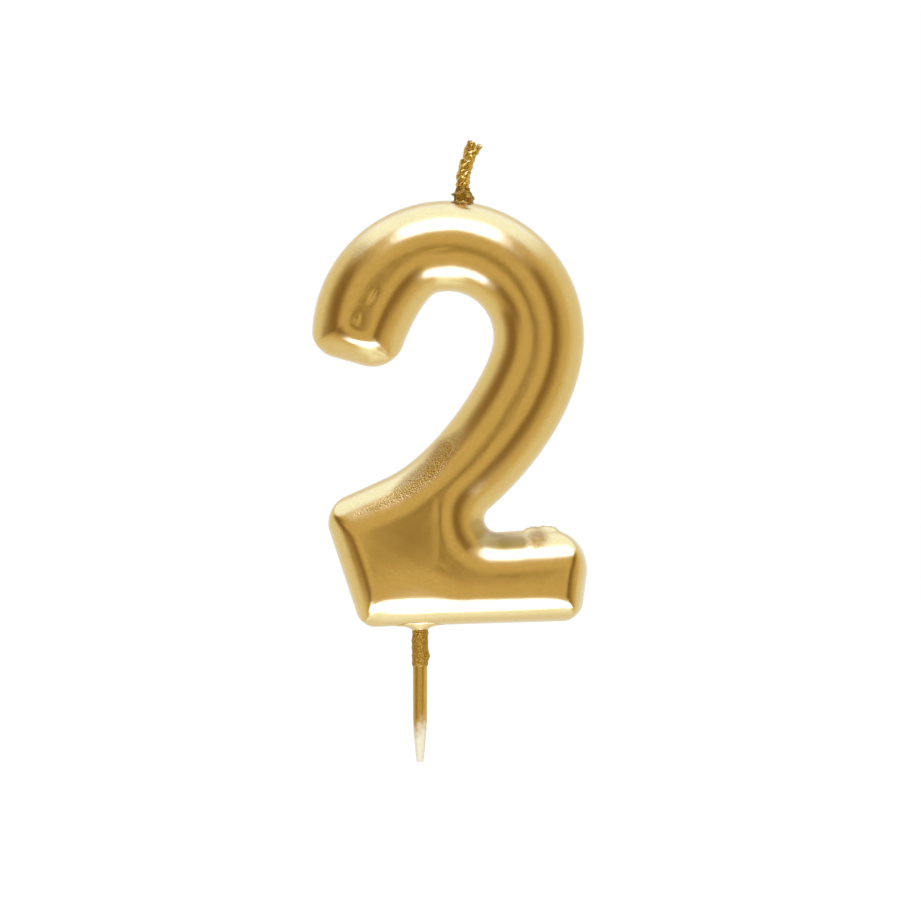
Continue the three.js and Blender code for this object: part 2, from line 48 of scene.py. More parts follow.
# Sizes, which are those of the solids
FIGURE_HEIGHT = 64.1
BODY_DEPTH = 12.0
SIDE_ROUND = 6.8  # how far in from a side the face is still curving
BOWL_RADIUS = 20.4
BOWL_CENTRE = np.array([4.2, FIGURE_HEIGHT - BOWL_RADIUS])
STROKE_WIDTH = 13.6
WICK_X = 6.4
WICK_SEAT = BOWL_CENTRE[1] + math.sqrt(BOWL_RADIUS ** 2 - (WICK_X - BOWL_CENTRE[0]) ** 2)
WICK_LAY = 5.2  # length of one turn of the plies
WICK_EXPOSED = 8.7
WICK_LEAN = 1.9  # sideways reach of the free end
COLLAR_HEIGHT = 2.0
PICK_RADIUS = 1.0
PICK_EXPOSED = 20.1
PICK_TIP_RADIUS = 0.48
PICK_TAPER = 7.2  # length of the pointed end
SLEEVE_LENGTH = 5.1

# The outline's arcs, as angles in degrees round their centres, clockwise except in the notch
BOWL_ARC = (179, -7.5)
COUNTER_ARC = (104, -16)
NOTCH_ARC = (131, 273.5)
NOTCH_CENTRE = np.array([11.6, 16.35])
NOTCH_RADIUS = 1.95

# The outline's corners before they are rounded, and how far each rounding reaches
HOOK_OUTER = np.array([-15.75, 41.4])
HOOK_INNER = np.array([-4.1, 38.15])
SHOULDER = np.array([-14.75, 18.1])
HEEL = np.array([-8.8, 0.1])
TOE_TOP = np.array([26.0, 15.3])
TOE_SOLE = np.array([24.1, 1.1])
HOOK_OUTER_REACH = 2.6
HOOK_INNER_REACH = 4.4
SHOULDER_REACH = 3.75
HEEL_REACH = 2.1
TOE_TOP_REACH = 7.6
TOE_SOLE_REACH = 2.7
CORNER_PULL = 0.55  # how strongly a rounding is drawn to its apex
CORNERS = (  # in the order of the loop
    (HOOK_OUTER, HOOK_OUTER_REACH), (TOE_TOP, TOE_TOP_REACH), (TOE_SOLE, TOE_SOLE_REACH),
    (HEEL, HEEL_REACH), (SHOULDER, SHOULDER_REACH), (HOOK_INNER, HOOK_INNER_REACH))

# The outline's free curves: headings in degrees, and how strongly each end pulls its curve
NECK = np.array([-4.8, 22.65])  # where the diagonal's left edge turns out to the shoulder
NECK_HEADING = -153.7
HOOK_HEADING = 69.6
HOOK_PULLS = (0.45, 0.15)
OUTER_PULLS = (0.315, 0.345)
INNER_PULLS = (0.21, 0.32)
SOLE_SPLIT = 0.42  # where along the sole the stretch opposite the notch ends
CURVE_STEPS = 400
LINE_STEPS = 60

# The ridge's turn round the notch
RIDGE_APEX = np.array([2.85, 7.8])
RIDGE_REACH = 2.6

# The coat's grid: steps along the outline, rings in the round part of a face, rings from
# there to the ridge, and the most of the way to the ridge that the round part may take
COAT_DETAIL = 5
ROUND_RINGS = 24
LEVEL_RINGS = 14
ROUND_SHARE = 0.94
REACH_PASSES = 6  # how often the round part's reach is smoothed round the outline
LEAST_COSINE = 0.5  # of a ring's way against the outline's normal, by which the reach is divided

# The coat's face. An edge is how far in the tight curve at a side reaches, a drop is how far
# a bevel or a fall lies below the full depth at the side, and a hold is how far in a side's
# profile counts against its neighbours'.
TOE_EDGE = 1.4
TOE_BEVEL = 3.2
TOE_BEVEL_DROP = 1.75
TOE_HOLD = 3.5
SOLE_EDGE = 2.0
SOLE_BEVEL = 4.3
SOLE_BEVEL_DROP = 1.2
SOLE_HOLD = 3.9
BLOCK_FALL = 17.0
BLOCK_FALL_DROP = 2.12
FOOT_FALL = 7.6
FOOT_FALL_DROP = 1.4
BLOCK_BLEND = (-1.15, 6.85)  # between these X the block's sole turns into the foot's
BLOCK_ROUND = 4.2
HOOK_TURN = 6.3  # the ridge stops this far from the bowl's free end, and the slopes turn round its tip
HOOK_TIGHTER = 1.35  # how much faster the slope rises there than beside the stroke
HOOK_LIFT = 0.6  # how much of the distance to the outline counts there as well
HOOK_POWER = 3
HOOK_HOLD = 9.0
MITRE_POWER = 3.0  # how strongly the nearest side counts: the lower, the softer two sides meet
RIM_EDGE = 1.6
RIM_POWER = 6.0  # how sharply the rim's own curve gives way to the face
LEAST_SHARE = 1e-4  # keeps the powers finite at a side itself
LEAST_HEIGHT = 1e-3
CROWN_RADIUS = 125.0  # a face falls away from its ridge as on a circle of this size

# A faint groove along the ridge where the block meets the foot, and the heights between
# which it rises and ends
CREASE_DEPTH = 0.035
CREASE_WIDTH = 0.6
CREASE_RISE = (8.0, 9.5)
CREASE_END = (17.5, 20.5)

# Where the wax sank: centre, length, width, turn in degrees and depth of each mark
FRONT_MARKS = (
    (3.2, 56.3, 2.2, 0.5, 8, 0.05), (3.6, 55.8, 1.3, 0.35, 0, -0.03),
    (-7.1, 49.6, 1.5, 0.5, 60, 0.07), (-9.3, 46.3, 1.1, 0.6, 85, 0.09),
    (12.6, 53.5, 0.35, 0.3, 0, 0.05), (-3.2, 52.0, 0.35, 0.3, 0, 0.04))
BACK_MARKS = ((12.0, 48.0, 1.4, 0.5, 70, 0.06), (-4.0, 8.0, 1.2, 0.7, 20, 0.05))
UNEVENNESS = 0.012
UNEVEN_SPAN = 9.0
DENT_FADE = (1.0, 4.0)  # heights between which the marks fade in from the rim

# Where the film set rough, as stops and patches: place, half width or radius, and strength
SPECKLE_BAND = (
    (6.0, 28.9, 1.0, 0.5), (3.6, 26.9, 1.5, 1.0), (1.6, 23.9, 1.6, 1.0), (-1.5, 21.4, 1.6, 0.8),
    (-4.5, 19.3, 0.8, 0.7), (-7.2, 17.8, 0.5, 0.8), (-9.6, 17.2, 0.3, 0.3))
PATH_EDGE = (0.5, 1.3)  # a band fades out between these shares of its half width
PATCH_EDGE = 0.3  # a patch from this share of its radius on
SPECKLE_PATCHES = ((-8.6, 56.0, 2.6, 0.22), (14.4, 56.3, 2.8, 0.15), (17.6, 13.4, 2.2, 1.0))
BACK_SPECKLE = 0.45  # how strong the speckles are on the back
# A band of painted dark reflection above the foot's highlight beside the notch, in the same stops
PAINTED_REFLECTION_BAND = (
    (8.3, 17.2, 0.9, 0.0), (8.6, 15.4, 1.2, 0.5), (9.8, 13.4, 1.4, 0.8), (12.6, 12.9, 1.3, 1.0),
    (15.0, 12.9, 1.2, 0.9), (16.8, 13.0, 1.0, 0.0))

# The scar of the gate on top of the foot: where it rises and ends along X, how far it
# reaches to the front and back, and the heights between which it is laid on
SCAR_RISE = (15.3, 16.4)
SCAR_END = (20.0, 21.3)
SCAR_SIDES = (0.9, 2.1)
SCAR_LOW = (12.0, 13.5)
SCAR_HIGH = (17.0, 19.0)
SCAR_HEIGHT = 0.42
SCAR_LUMPS = 0.10

# The coat drawn down round the pick
SOLE_Z = 0.33  # of the sole beside the pick
SOLE_SLOPE = 0.0304  # its rise for each millimetre along X
SOLE_CURVE = 0.12  # how fast the sole's edge rises to the front and back
FILLET_DROP = 0.6
FILLET_WIDTH = 2.1
FILLET_BORE = 1.06
FILLET_WIDER = 0.14  # how much wider its rim is across the front
FILLET_NARROWER = 0.35  # and how much narrower from front to back
FILLET_TUCK = 0.25  # how far its rim goes on up inside the coat
BORE_TUCK = 0.4
FILLET_ROWS = 22
FILLET_SIDES = 96

# The wick's plies
WICK_ROOT = 3.0  # how far inside the coat the plies start
PLY_STEPS = 230
PLY_SIDES = 26
PLY_ORBIT = 0.50  # from the wick's line to a ply's
PLY_RADIUS = 0.57
PLY_OVAL = 0.12
PLY_START = 1.1  # radians round the wick at its root
PLY_SPREAD = 0.30  # how far a ply stands out at the free end, times its own share
SPREAD_SHARES = (1.0, 0.6, 1.2)
SPREAD_START = 0.84  # share of the length
PINCH = 0.07  # how much closer the plies lie in the pinch below the free end
PINCH_PLACE = 0.78
PINCH_LENGTH = 0.06
TORN_ENDS = (0.985, 0.99, 0.955)  # share of the length at which each ply is torn
TORN_LENGTH = 0.03
TORN_SHRINK = 0.35  # how much thinner a ply is where it is torn
TIP_SHRINK = 0.6  # and how much more at its tip
STRAND_COUNT = 7
STRAND_HEIGHT = 0.012
STRAND_TWIST = 6.5  # radians a millimetre
CRINKLE = 0.085
CRINKLE_ROUND = 2.2  # radius and stretch of the cylinder on which its noise is read
CRINKLE_ALONG = 3.4
FINE_CRINKLE = 0.016
FIBRE_COUNT = 64
FIBRE_STEPS = 7
FIBRE_SIDES = 6

# The lump round the wick's root, as distances from the wick's line
COLLAR_SKIRT_DEPTH = 0.6  # how far below the seat it starts
COLLAR_BORE = 1.0
COLLAR_RADIUS = 1.26
COLLAR_LEAST = 1.06
COLLAR_SKIRT = 0.55
COLLAR_SKIRT_TOP = 0.35  # share of the height
COLLAR_CLOSING = 0.2
COLLAR_WAIST = 0.6
COLLAR_LUMPS = 0.14
COLLAR_FALL = 0.5 / 6.0  # how fast the skirt falls to the front and back
COLLAR_BULGES = (  # side, size, spread round it, place up it and spread up it
    (-1, 0.50, 0.5, 0.64, 0.08), (1, 0.45, 0.5, 0.42, 0.17), (-1, 0.40, 0.12, 0.22, 0.05))
COLLAR_ROWS = 44
COLLAR_SIDES = 96

# The run of lacquer on the pick
SLEEVE_TOP = -0.7
SLEEVE_OVERLAP = 0.55  # how far it goes on up inside the fillet
SLEEVE_WALL = 0.17
SLEEVE_LEAST = 0.05
SLEEVE_FOOT = 0.35  # share of the wall at its lower end
SLEEVE_RUNOUT = 0.10  # share of the length in which it thins to that
SLEEVE_GRAIN = 0.045
SLEEVE_FINE_GRAIN = 0.02
SLEEVE_BEADS = (  # turn in degrees, place up it, size and spread
    (0, 0.30, 0.30, 0.15), (175, 0.12, 0.08, 0.1), (8, 0.90, 0.14, 0.07), (265, 0.06, 0.20, 0.035),
    (120, 0.5, 0.16, 0.15), (250, 0.65, 0.07, 0.16), (300, 0.2, 0.10, 0.1), (60, 0.72, 0.12, 0.1))
SLEEVE_ROWS = 90
SLEEVE_SIDES = 72

# The stick
PICK_STEPS = 260
PICK_SIDES = 48
PICK_BULGE = 1.7  # how full the taper is
PICK_FILM = 0.06  # thickness of the film on it
PICK_FACETS = 0.012


# Small helpers

def smoothstep(value, low, high):
    """0 below low, 1 above high and a smooth S between them."""
    t = np.clip((np.asarray(value, float) - low) / (high - low), 0.0, 1.0)
    return t * t * (3.0 - 2.0 * t)


def wave_noise(points, scale, seed, octaves=4):
    """Smooth noise of about -1 to 1 at an array of points: sines of seeded directions and
    phases, each octave twice as fine as the one before and about half as strong."""
    rng = np.random.default_rng(seed)
    total = np.zeros(len(points))
    weight = 1.0
    norm = 0.0
    for octave in range(octaves):
        for _ in range(5):
            way = rng.normal(size=points.shape[1])
            way *= 2.0 ** octave / scale / np.linalg.norm(way)
            total += weight * np.sin(points @ way * 2.0 * math.pi + rng.uniform(0, 2 * math.pi))
        norm += weight * 1.6
        weight *= 0.55
    return total / norm


def mesh_object(name, vertices, faces, attributes=None, smooth=True):
    """An object at the origin from vertices in millimetres, with float attributes."""
    mesh = bpy.data.meshes.new(name)
    mesh.from_pydata((np.asarray(vertices) * MM).tolist(), [], faces)
    mesh.validate()
    if smooth:
        mesh.polygons.foreach_set("use_smooth", [True] * len(mesh.polygons))
    for key, values in (attributes or {}).items():
        layer = mesh.attributes.new(key, "FLOAT", "POINT")
        layer.data.foreach_set("value", np.asarray(values, np.float32))
    mesh.update()
    obj = bpy.data.objects.new(name, mesh)
    bpy.context.scene.collection.objects.link(obj)
    return obj


def window(value, rise, end):
    """1 between two soft edges, and 0 outside them."""
    return smoothstep(value, *rise) * (1 - smoothstep(value, *end))


def bell(value, spread):
    """1 where the value is 0, falling away by the square of its distance."""
    return np.exp(-(value / spread) ** 2)


def around_axis(angles, radius, height):
    """Points of a level ring round the upright axis."""
    return np.stack([radius * np.cos(angles), radius * np.sin(angles), np.full(len(angles), height)], 1)


def ring_quads(rings, sides, closed=False, flipped=False):
    """Faces of a grid of closed rings: each joins two neighbours of a ring to those of the
    next. A closed grid also joins the last ring to the first, and flipped turns the faces."""
    ring, side = np.meshgrid(np.arange(rings if closed else rings - 1), np.arange(sides), indexing="ij")
    here, there, beside = ring * sides, (ring + 1) % rings * sides, (side + 1) % sides
    quads = np.stack([here + side, here + beside, there + beside, there + side], 2).reshape(-1, 4)
    return (quads[:, [0, 3, 2, 1]] if flipped else quads).tolist()


def tube_grid(centres, across, up, radius, sides):
    """Vertices and faces of a closed tube: ring i lies about centres[i] in the plane of
    across[i] and up[i], and radius(angles, i) gives its radii. Both ends are closed."""
    angles = np.arange(sides) / sides * 2.0 * math.pi
    rings = []
    for i, centre in enumerate(centres):
        spokes = np.cos(angles)[:, None] * across[i] + np.sin(angles)[:, None] * up[i]
        rings.append(centre + radius(angles, i)[:, None] * spokes)
    vertices = np.concatenate(rings + [centres[:1], centres[-1:]])
    count = len(centres)
    side = np.arange(sides)
    beside = (side + 1) % sides
    start, end = (np.full(sides, count * sides + i) for i in range(2))
    last_ring = (count - 1) * sides
    caps = np.concatenate([np.stack([start, beside, side], 1),
                           np.stack([end, last_ring + side, last_ring + beside], 1)])
    return vertices, ring_quads(count, sides) + caps.tolist()


# The outline

def heading(degrees):
    """The unit vector at this angle from X."""
    return np.array([math.cos(math.radians(degrees)), math.sin(math.radians(degrees))])


def arc(centre, radius, span):
    """Points of an arc between two angles in degrees."""
    angles = np.radians(np.linspace(*span, CURVE_STEPS))
    return centre + radius * np.stack([np.cos(angles), np.sin(angles)], 1)


def bezier(a, b, c, d):
    """Points of the cubic curve with these four control points."""
    t = np.linspace(0, 1, CURVE_STEPS)[:, None]
    return (1 - t) ** 3 * a + 3 * (1 - t) ** 2 * t * b + 3 * (1 - t) * t * t * c + t ** 3 * d


def blend_curve(start, start_heading, end, end_heading, pulls):
    """A cubic curve that leaves its start and reaches its end at the given headings."""
    span = np.linalg.norm(end - start)
    return bezier(start, start + heading(start_heading) * span * pulls[0],
                  end - heading(end_heading) * span * pulls[1], end)


def corner(before, apex, after, reach):
    """A corner's rounding: a cubic curve between the points at its reach from the apex."""
    start = apex + (before - apex) / np.linalg.norm(before - apex) * reach
    end = apex + (after - apex) / np.linalg.norm(after - apex) * reach
    return bezier(start, start + (apex - start) * CORNER_PULL, end + (apex - end) * CORNER_PULL, end)


def line(a, b):
    """Evenly spaced points from a to b."""
    return a + (b - a) * np.linspace(0, 1, LINE_STEPS)[:, None]


def spaced(curve, steps):
    """The curve's points at equal distances along it."""
    along = np.concatenate([[0], np.cumsum(np.linalg.norm(np.diff(curve, axis=0), axis=1))])
    at = np.linspace(0, along[-1], steps + 1)
    return np.stack([np.interp(at, along, curve[:, i]) for i in range(2)], 1)


def walk(legs, detail):
    """The legs' points one after another, each leg evenly in its own number of steps."""
    points = [legs[0][0][:1]]
    for curve, steps in legs:
        points.append(spaced(curve, round(steps * detail))[1:])
    return np.concatenate(points)


def outline(detail):
    """The outline as a clockwise loop, the ridge's points, and which of them each point of
    the loop faces. The ridge runs half way between the outer and the inner edge, whose legs
    are paired stretch by stretch, each leg with its number of steps."""
    bowl = arc(BOWL_CENTRE, BOWL_RADIUS, BOWL_ARC)
    counter = arc(BOWL_CENTRE, BOWL_RADIUS - STROKE_WIDTH, COUNTER_ARC)
    notch = arc(NOTCH_CENTRE, NOTCH_RADIUS, NOTCH_ARC)
    hook_outer = corner(bowl[0], HOOK_OUTER, HOOK_INNER, HOOK_OUTER_REACH)
    hook_inner = corner(HOOK_OUTER, HOOK_INNER, HOOK_INNER + heading(HOOK_HEADING), HOOK_INNER_REACH)
    hook_side = blend_curve(hook_inner[-1], HOOK_HEADING, counter[0], COUNTER_ARC[0] - 90, HOOK_PULLS)
    outer_diagonal = blend_curve(bowl[-1], BOWL_ARC[1] - 90, notch[0], NOTCH_ARC[0] + 90, OUTER_PULLS)
    inner_diagonal = blend_curve(counter[-1], COUNTER_ARC[1] - 90, NECK, NECK_HEADING, INNER_PULLS)
    shoulder = corner(NECK, SHOULDER, HEEL, SHOULDER_REACH)
    heel = corner(SHOULDER, HEEL, TOE_SOLE, HEEL_REACH)
    toe_sole = corner(TOE_TOP, TOE_SOLE, HEEL, TOE_SOLE_REACH)
    toe_top = corner(notch[-1], TOE_TOP, TOE_SOLE, TOE_TOP_REACH)
    sole_middle = heel[-1] + (toe_sole[-1] - heel[-1]) * SOLE_SPLIT
    stretches = [
        (bowl, [(hook_side, 7), (counter, 17)]),
        (outer_diagonal, [(inner_diagonal, 11)]),
        (notch, [(line(NECK, shoulder[0]), 5), (shoulder, 6), (line(shoulder[-1], heel[0]), 6),
                 (heel, 5), (line(heel[-1], sole_middle), 6)]),
        (line(notch[-1], toe_top[0]), [(line(sole_middle, toe_sole[-1]), 9)]),
    ]
    hook_end = [(hook_outer, 5), (line(hook_outer[-1], hook_inner[0]), 4), (hook_inner, 5)]
    toe_end = [(toe_top, 7), (line(toe_top[-1], toe_sole[0]), 2), (toe_sole, 5)]

    outer, inner, ridge = [], [], []
    for index, (outer_curve, inner_legs) in enumerate(stretches):
        inside = walk(inner_legs, detail)
        outside = spaced(outer_curve, len(inside) - 1)
        first = 1 if index else 0
        outer.append(outside[first:])
        inner.append(inside[first:])
        ridge.append((outside[first:] + inside[first:]) / 2)
    # beside the notch the ridge takes a rounded turn of its own
    bend = corner(ridge[1][-1], RIDGE_APEX, ridge[2][-1], RIDGE_REACH)
    bent = np.concatenate([line(ridge[1][-1], bend[0]), bend[1:-1], line(bend[-1], ridge[2][-1])])
    ridge[2] = spaced(bent, len(ridge[2]))[1:]
    outer, inner, ridge = (np.concatenate(part) for part in (outer, inner, ridge))
    count = len(ridge)
    toe = walk(toe_end, detail)[1:-1]
    hook = walk(hook_end, detail)[::-1][1:-1]
    loop = np.concatenate([outer, toe, inner[::-1], hook])
    facing = np.concatenate([np.arange(count), np.full(len(toe), count - 1),
                             np.arange(count)[::-1], np.zeros(len(hook), int)])
    return loop, ridge, facing


def loop_smoothed(values, passes):
    """Values round a loop, mixed with their two neighbours at every pass."""
    for _ in range(passes):
        values = (np.roll(values, 1, 0) + 2 * values + np.roll(values, -1, 0)) / 4
    return values


# The coat

def dents(x, z, marks, seed):
    """How far the face is sunk at each point: a bell over each mark, turned and stretched,
    and the slight unevenness of the whole casting."""
    sunk = np.zeros_like(x)
    for cx, cz, length, width, turn, depth in marks:
        c, s = heading(turn)
        along, off = (x - cx) * c + (z - cz) * s, (z - cz) * c - (x - cx) * s
        sunk += depth * np.exp(-(along / length) ** 2 * 2 - (off / width) ** 2 * 2)
    return sunk + UNEVENNESS * wave_noise(np.stack([x, z], 1), UNEVEN_SPAN, seed, 3)


def path_mask(x, z, stops):
    """A soft band through the stops, each with its place, half width and strength. It fades
    with the distance to the nearest leg, along which width and strength change evenly."""
    mask = np.zeros_like(x)
    for (ax, az, a_width, a_power), (bx, bz, b_width, b_power) in zip(stops[:-1], stops[1:]):
        way = np.array([bx - ax, bz - az])
        t = np.clip(((x - ax) * way[0] + (z - az) * way[1]) / (way @ way), 0, 1)
        away = np.hypot(x - ax - t * way[0], z - az - t * way[1])
        width = a_width + (b_width - a_width) * t
        power = a_power + (b_power - a_power) * t
        mask = np.maximum(mask, power * (1 - smoothstep(away, width * PATH_EDGE[0], width * PATH_EDGE[1])))
    return mask


def speckle_mask(x, z):
    """Where the film set rough: a band down the inside of the diagonal that turns along the
    block's shoulder, two patches on the bowl and one on the foot's scar."""
    mask = path_mask(x, z, SPECKLE_BAND)
    for cx, cz, size, power in SPECKLE_PATCHES:
        away = np.hypot(x - cx, z - cz)
        mask = np.maximum(mask, power * (1 - smoothstep(away, size * PATCH_EDGE, size)))
    return mask


def distance_to(points, path):
    """Each point's distance to an open path."""
    nearest = np.full(len(points), np.inf)
    for a, b in zip(path[:-1], path[1:]):
        way = b - a
        share = np.clip(((points - a) @ way) / (way @ way), 0, 1)
        off = points - a - share[:, None] * way
        nearest = np.minimum(nearest, np.hypot(off[:, 0], off[:, 1]))
    return nearest


def round_profile(distance, rounding):
    """A quarter ellipse that levels off at the rounding's distance from the edge."""
    gone = 1 - np.clip(distance / rounding, 0, 1)
    return BODY_DEPTH / 2 * np.sqrt(1 - gone ** 2)


def toe_profile(distance):
    """The toe's upright end: a tight curve and a bevel."""
    bevel = TOE_BEVEL_DROP * np.clip(1 - distance / TOE_BEVEL, 0, None) ** 1.5
    left = 1 - np.minimum(1, distance / TOE_EDGE)
    return (BODY_DEPTH / 2 - bevel) * np.sqrt(1 - left ** 2)


def sole_profile(distance, wide):
    """The sole's edge: a tight curve, a bevel and a slow fall, which is longer under the
    block, where wide is 1, than under the foot."""
    bevel = SOLE_BEVEL_DROP * np.clip(1 - distance / SOLE_BEVEL, 0, None) ** 1.5
    block_fall = BLOCK_FALL_DROP * np.clip(1 - distance / BLOCK_FALL, 0, None) ** 2
    foot_fall = FOOT_FALL_DROP * np.clip(1 - distance / FOOT_FALL, 0, None) ** 2
    left = 1 - np.minimum(1, distance / SOLE_EDGE)
    fall = foot_fall + (block_fall - foot_fall) * wide
    return (BODY_DEPTH / 2 - bevel - fall) * np.sqrt(1 - left ** 2)


def side_distances(places, loop):
    """Each place's distance to each of the six sides, taken on to their corners' apexes."""
    count = len(loop)
    apexes = [apex for apex, _ in CORNERS]
    marks = [int(np.argmin(np.linalg.norm(loop - apex, axis=1))) for apex in apexes]
    kept = np.all([np.linalg.norm(loop - apex, axis=1) > reach for apex, reach in CORNERS], axis=0)
    distances = []
    for side, apex in enumerate(apexes):
        following = (side + 1) % len(apexes)
        first, last = marks[side], marks[following]
        between = np.arange(first + 1, last + (count if last < first else 0)) % count
        run = loop[between[kept[between]]]
        distances.append(distance_to(places, np.concatenate([[apex], run, [apexes[following]]])))
    return distances


def coat_height(places, loop, ridge):
    """How far the face stands out at each place: the mean of what each side's own profile
    gives at its distance, in which the nearest side counts most. Close to the outline the
    rim's tight curve takes over, which rounds the corners off. The face falls away from its
    ridge as on a wide circle, and a groove runs along the ridge beside the notch."""
    outer, toe, sole, block, inner, hook = side_distances(places, loop)
    wide = 1 - smoothstep(places[:, 0], *BLOCK_BLEND)
    inside = distance_to(places, np.concatenate([loop, loop[:1]]))
    spine = ridge[distance_to(ridge, np.stack([HOOK_INNER, HOOK_OUTER])) > HOOK_TURN]
    turned = np.maximum(HOOK_TURN - distance_to(places, spine), 0)
    turned = (turned ** HOOK_POWER + (HOOK_LIFT * inside) ** HOOK_POWER) ** (1 / HOOK_POWER)
    sides = (  # its distance, its hold and its height
        (outer, SIDE_ROUND, round_profile(outer, SIDE_ROUND)),
        (toe, TOE_HOLD, toe_profile(toe)),
        (sole, SOLE_HOLD, sole_profile(sole, wide)),
        (block, BLOCK_ROUND, round_profile(block, BLOCK_ROUND)),
        (inner, SIDE_ROUND, round_profile(inner, SIDE_ROUND)),
        (hook, HOOK_HOLD, round_profile(HOOK_TIGHTER * turned, SIDE_ROUND)))
    weights = [np.maximum(distance / hold, LEAST_SHARE) ** -MITRE_POWER for distance, hold, _ in sides]
    face = sum(weight * side[2] for weight, side in zip(weights, sides)) / sum(weights)
    rim = BODY_DEPTH / 2 * np.sqrt(2 * inside / RIM_EDGE)
    both = sum(np.maximum(height, LEAST_HEIGHT) ** -RIM_POWER for height in (face, rim))
    away = distance_to(places, ridge)
    crown = 1 - away ** 2 / (CROWN_RADIUS * BODY_DEPTH)
    crease = CREASE_DEPTH * window(places[:, 1], CREASE_RISE, CREASE_END) * bell(away, CREASE_WIDTH)
    return both ** (-1 / RIM_POWER) * crown - crease


def coat_quads(count, facing, shift):
    """Faces of one side of the coat, whose rings after the outline's are numbered from shift
    on. The last ring meets the ridge, where two of its points may face the same one."""
    rings = ROUND_RINGS + LEVEL_RINGS
    point = np.arange(count)
    following = np.roll(point, -1)
    starts = np.arange(rings) * count + shift
    starts[0] = 0
    a, b = starts[:-1, None], starts[1:, None]
    quads = np.stack([a + point, b + point, b + following, a + following], 2).reshape(-1, 4).tolist()
    crest = rings * count + shift + facing
    edge = np.stack([starts[-1] + point, crest, crest[following], starts[-1] + following], 1).tolist()
    return quads + [(a, b, d) if b == c else (a, b, c, d) for a, b, c, d in edge]


def scar_height(x, y, z):
    """How far the scar of the gate stands up: lumps within a window along each axis."""
    near = window(x, SCAR_RISE, SCAR_END) * (1 - smoothstep(np.abs(y), *SCAR_SIDES))
    near = near * window(z, SCAR_LOW, SCAR_HIGH)
    return near * (SCAR_HEIGHT + SCAR_LUMPS * wave_noise(np.stack([x, y], 1), 1.5, 5, 3))


def coat_surface():
    """Rings run from the outline straight to the ridge: in the round part of the face by
    1 - cosine of equal turns, and by equal steps from there on. Each point stands out by
    coat_height, and both faces share the outline's ring."""
    loop, ridge, facing = outline(COAT_DETAIL)
    count = len(loop)
    way = ridge[facing] - loop
    length = np.linalg.norm(way, axis=1)
    along = np.roll(loop, -1, 0) - np.roll(loop, 1, 0)
    along /= np.linalg.norm(along, axis=1)[:, None]
    cosine = np.maximum(LEAST_COSINE, (along[:, 1] * way[:, 0] - along[:, 0] * way[:, 1]) / length)
    reach = loop_smoothed(np.minimum(SIDE_ROUND / cosine, ROUND_SHARE * length), REACH_PASSES)
    turns = np.arange(ROUND_RINGS + 1)[:, None] / ROUND_RINGS * math.pi / 2
    steps = np.arange(1, LEVEL_RINGS)[:, None] / LEVEL_RINGS
    gone = np.concatenate([reach * (1 - np.cos(turns)), reach + (length - reach) * steps])
    rings = loop + (way / length[:, None]) * gone[:, :, None]
    places = np.concatenate([rings.reshape(-1, 2), ridge])
    height = coat_height(places, loop, ridge)
    height[:count] = 0.0

    x = np.concatenate([places[:, 0], places[count:, 0]])
    z = np.concatenate([places[:, 1], places[count:, 1]])
    y = np.concatenate([-height, height[count:]])
    front = y < 0
    sunk = np.where(front, dents(x, z, FRONT_MARKS, 11), dents(x, z, BACK_MARKS, 12))
    y = y - np.sign(y) * sunk * smoothstep(np.abs(y), *DENT_FADE)
    z = z + scar_height(x, y, z)
    faces = coat_quads(count, facing, 0)
    faces += [face[::-1] for face in coat_quads(count, facing, len(places) - count)]
    speckle = speckle_mask(x, z)
    # the second mask is painted dark reflection above the foot beside the notch
    masks = {"speckle": np.where(front, speckle, BACK_SPECKLE * speckle),
             "pool": path_mask(x, z, PAINTED_REFLECTION_BAND)}
    return np.stack([x, y, z], 1), faces, masks


def fillet_surface():
    """The coat drawn down round the pick: a hollow quarter round, a little wider across the
    front than through it, whose rim follows the sole's slope and the curve of its edge."""
    turn, angle = np.meshgrid(np.linspace(0, math.pi / 2, FILLET_ROWS + 1),
                              np.arange(FILLET_SIDES) / FILLET_SIDES * 2 * math.pi, indexing="ij")
    share = 1 - np.cos(turn)
    radius = FILLET_BORE + FILLET_WIDTH * share
    x = radius * np.cos(angle) * (1 + FILLET_WIDER * share)
    y = radius * np.sin(angle) * (1 - FILLET_NARROWER * share)
    z = -FILLET_DROP + (FILLET_DROP + SOLE_Z) * np.sin(turn) + SOLE_SLOPE * x + SOLE_CURVE * y ** 2 * share
    rings = np.stack([x, y, z], 2)
    # turned back on itself inside the coat, so that the ring is closed
    top = rings[-1] + [0, 0, FILLET_TUCK]
    bore = rings[0] + [0, 0, FILLET_DROP + SOLE_Z + BORE_TUCK]
    vertices = np.concatenate([rings.reshape(-1, 3), top, bore])
    return vertices, ring_quads(FILLET_ROWS + 3, FILLET_SIDES, closed=True, flipped=True)


# The wick

def wick_line(share):
    """Points and directions of the wick's centre line: straight up through the collar, then
    leaning over as a parabola."""
    low, bend, top = WICK_SEAT - WICK_ROOT, WICK_SEAT + COLLAR_HEIGHT, WICK_SEAT + WICK_EXPOSED
    z = low + (top - low) * share
    free = np.clip((z - bend) / (top - bend), 0, None)
    points = np.stack([WICK_X + WICK_LEAN * free ** 2, np.zeros_like(z), z], 1)
    slope = 2 * WICK_LEAN * free / (top - bend)
    direction = np.stack([slope, np.zeros_like(z), np.ones_like(z)], 1)
    return points, direction / np.linalg.norm(direction, axis=1)[:, None]


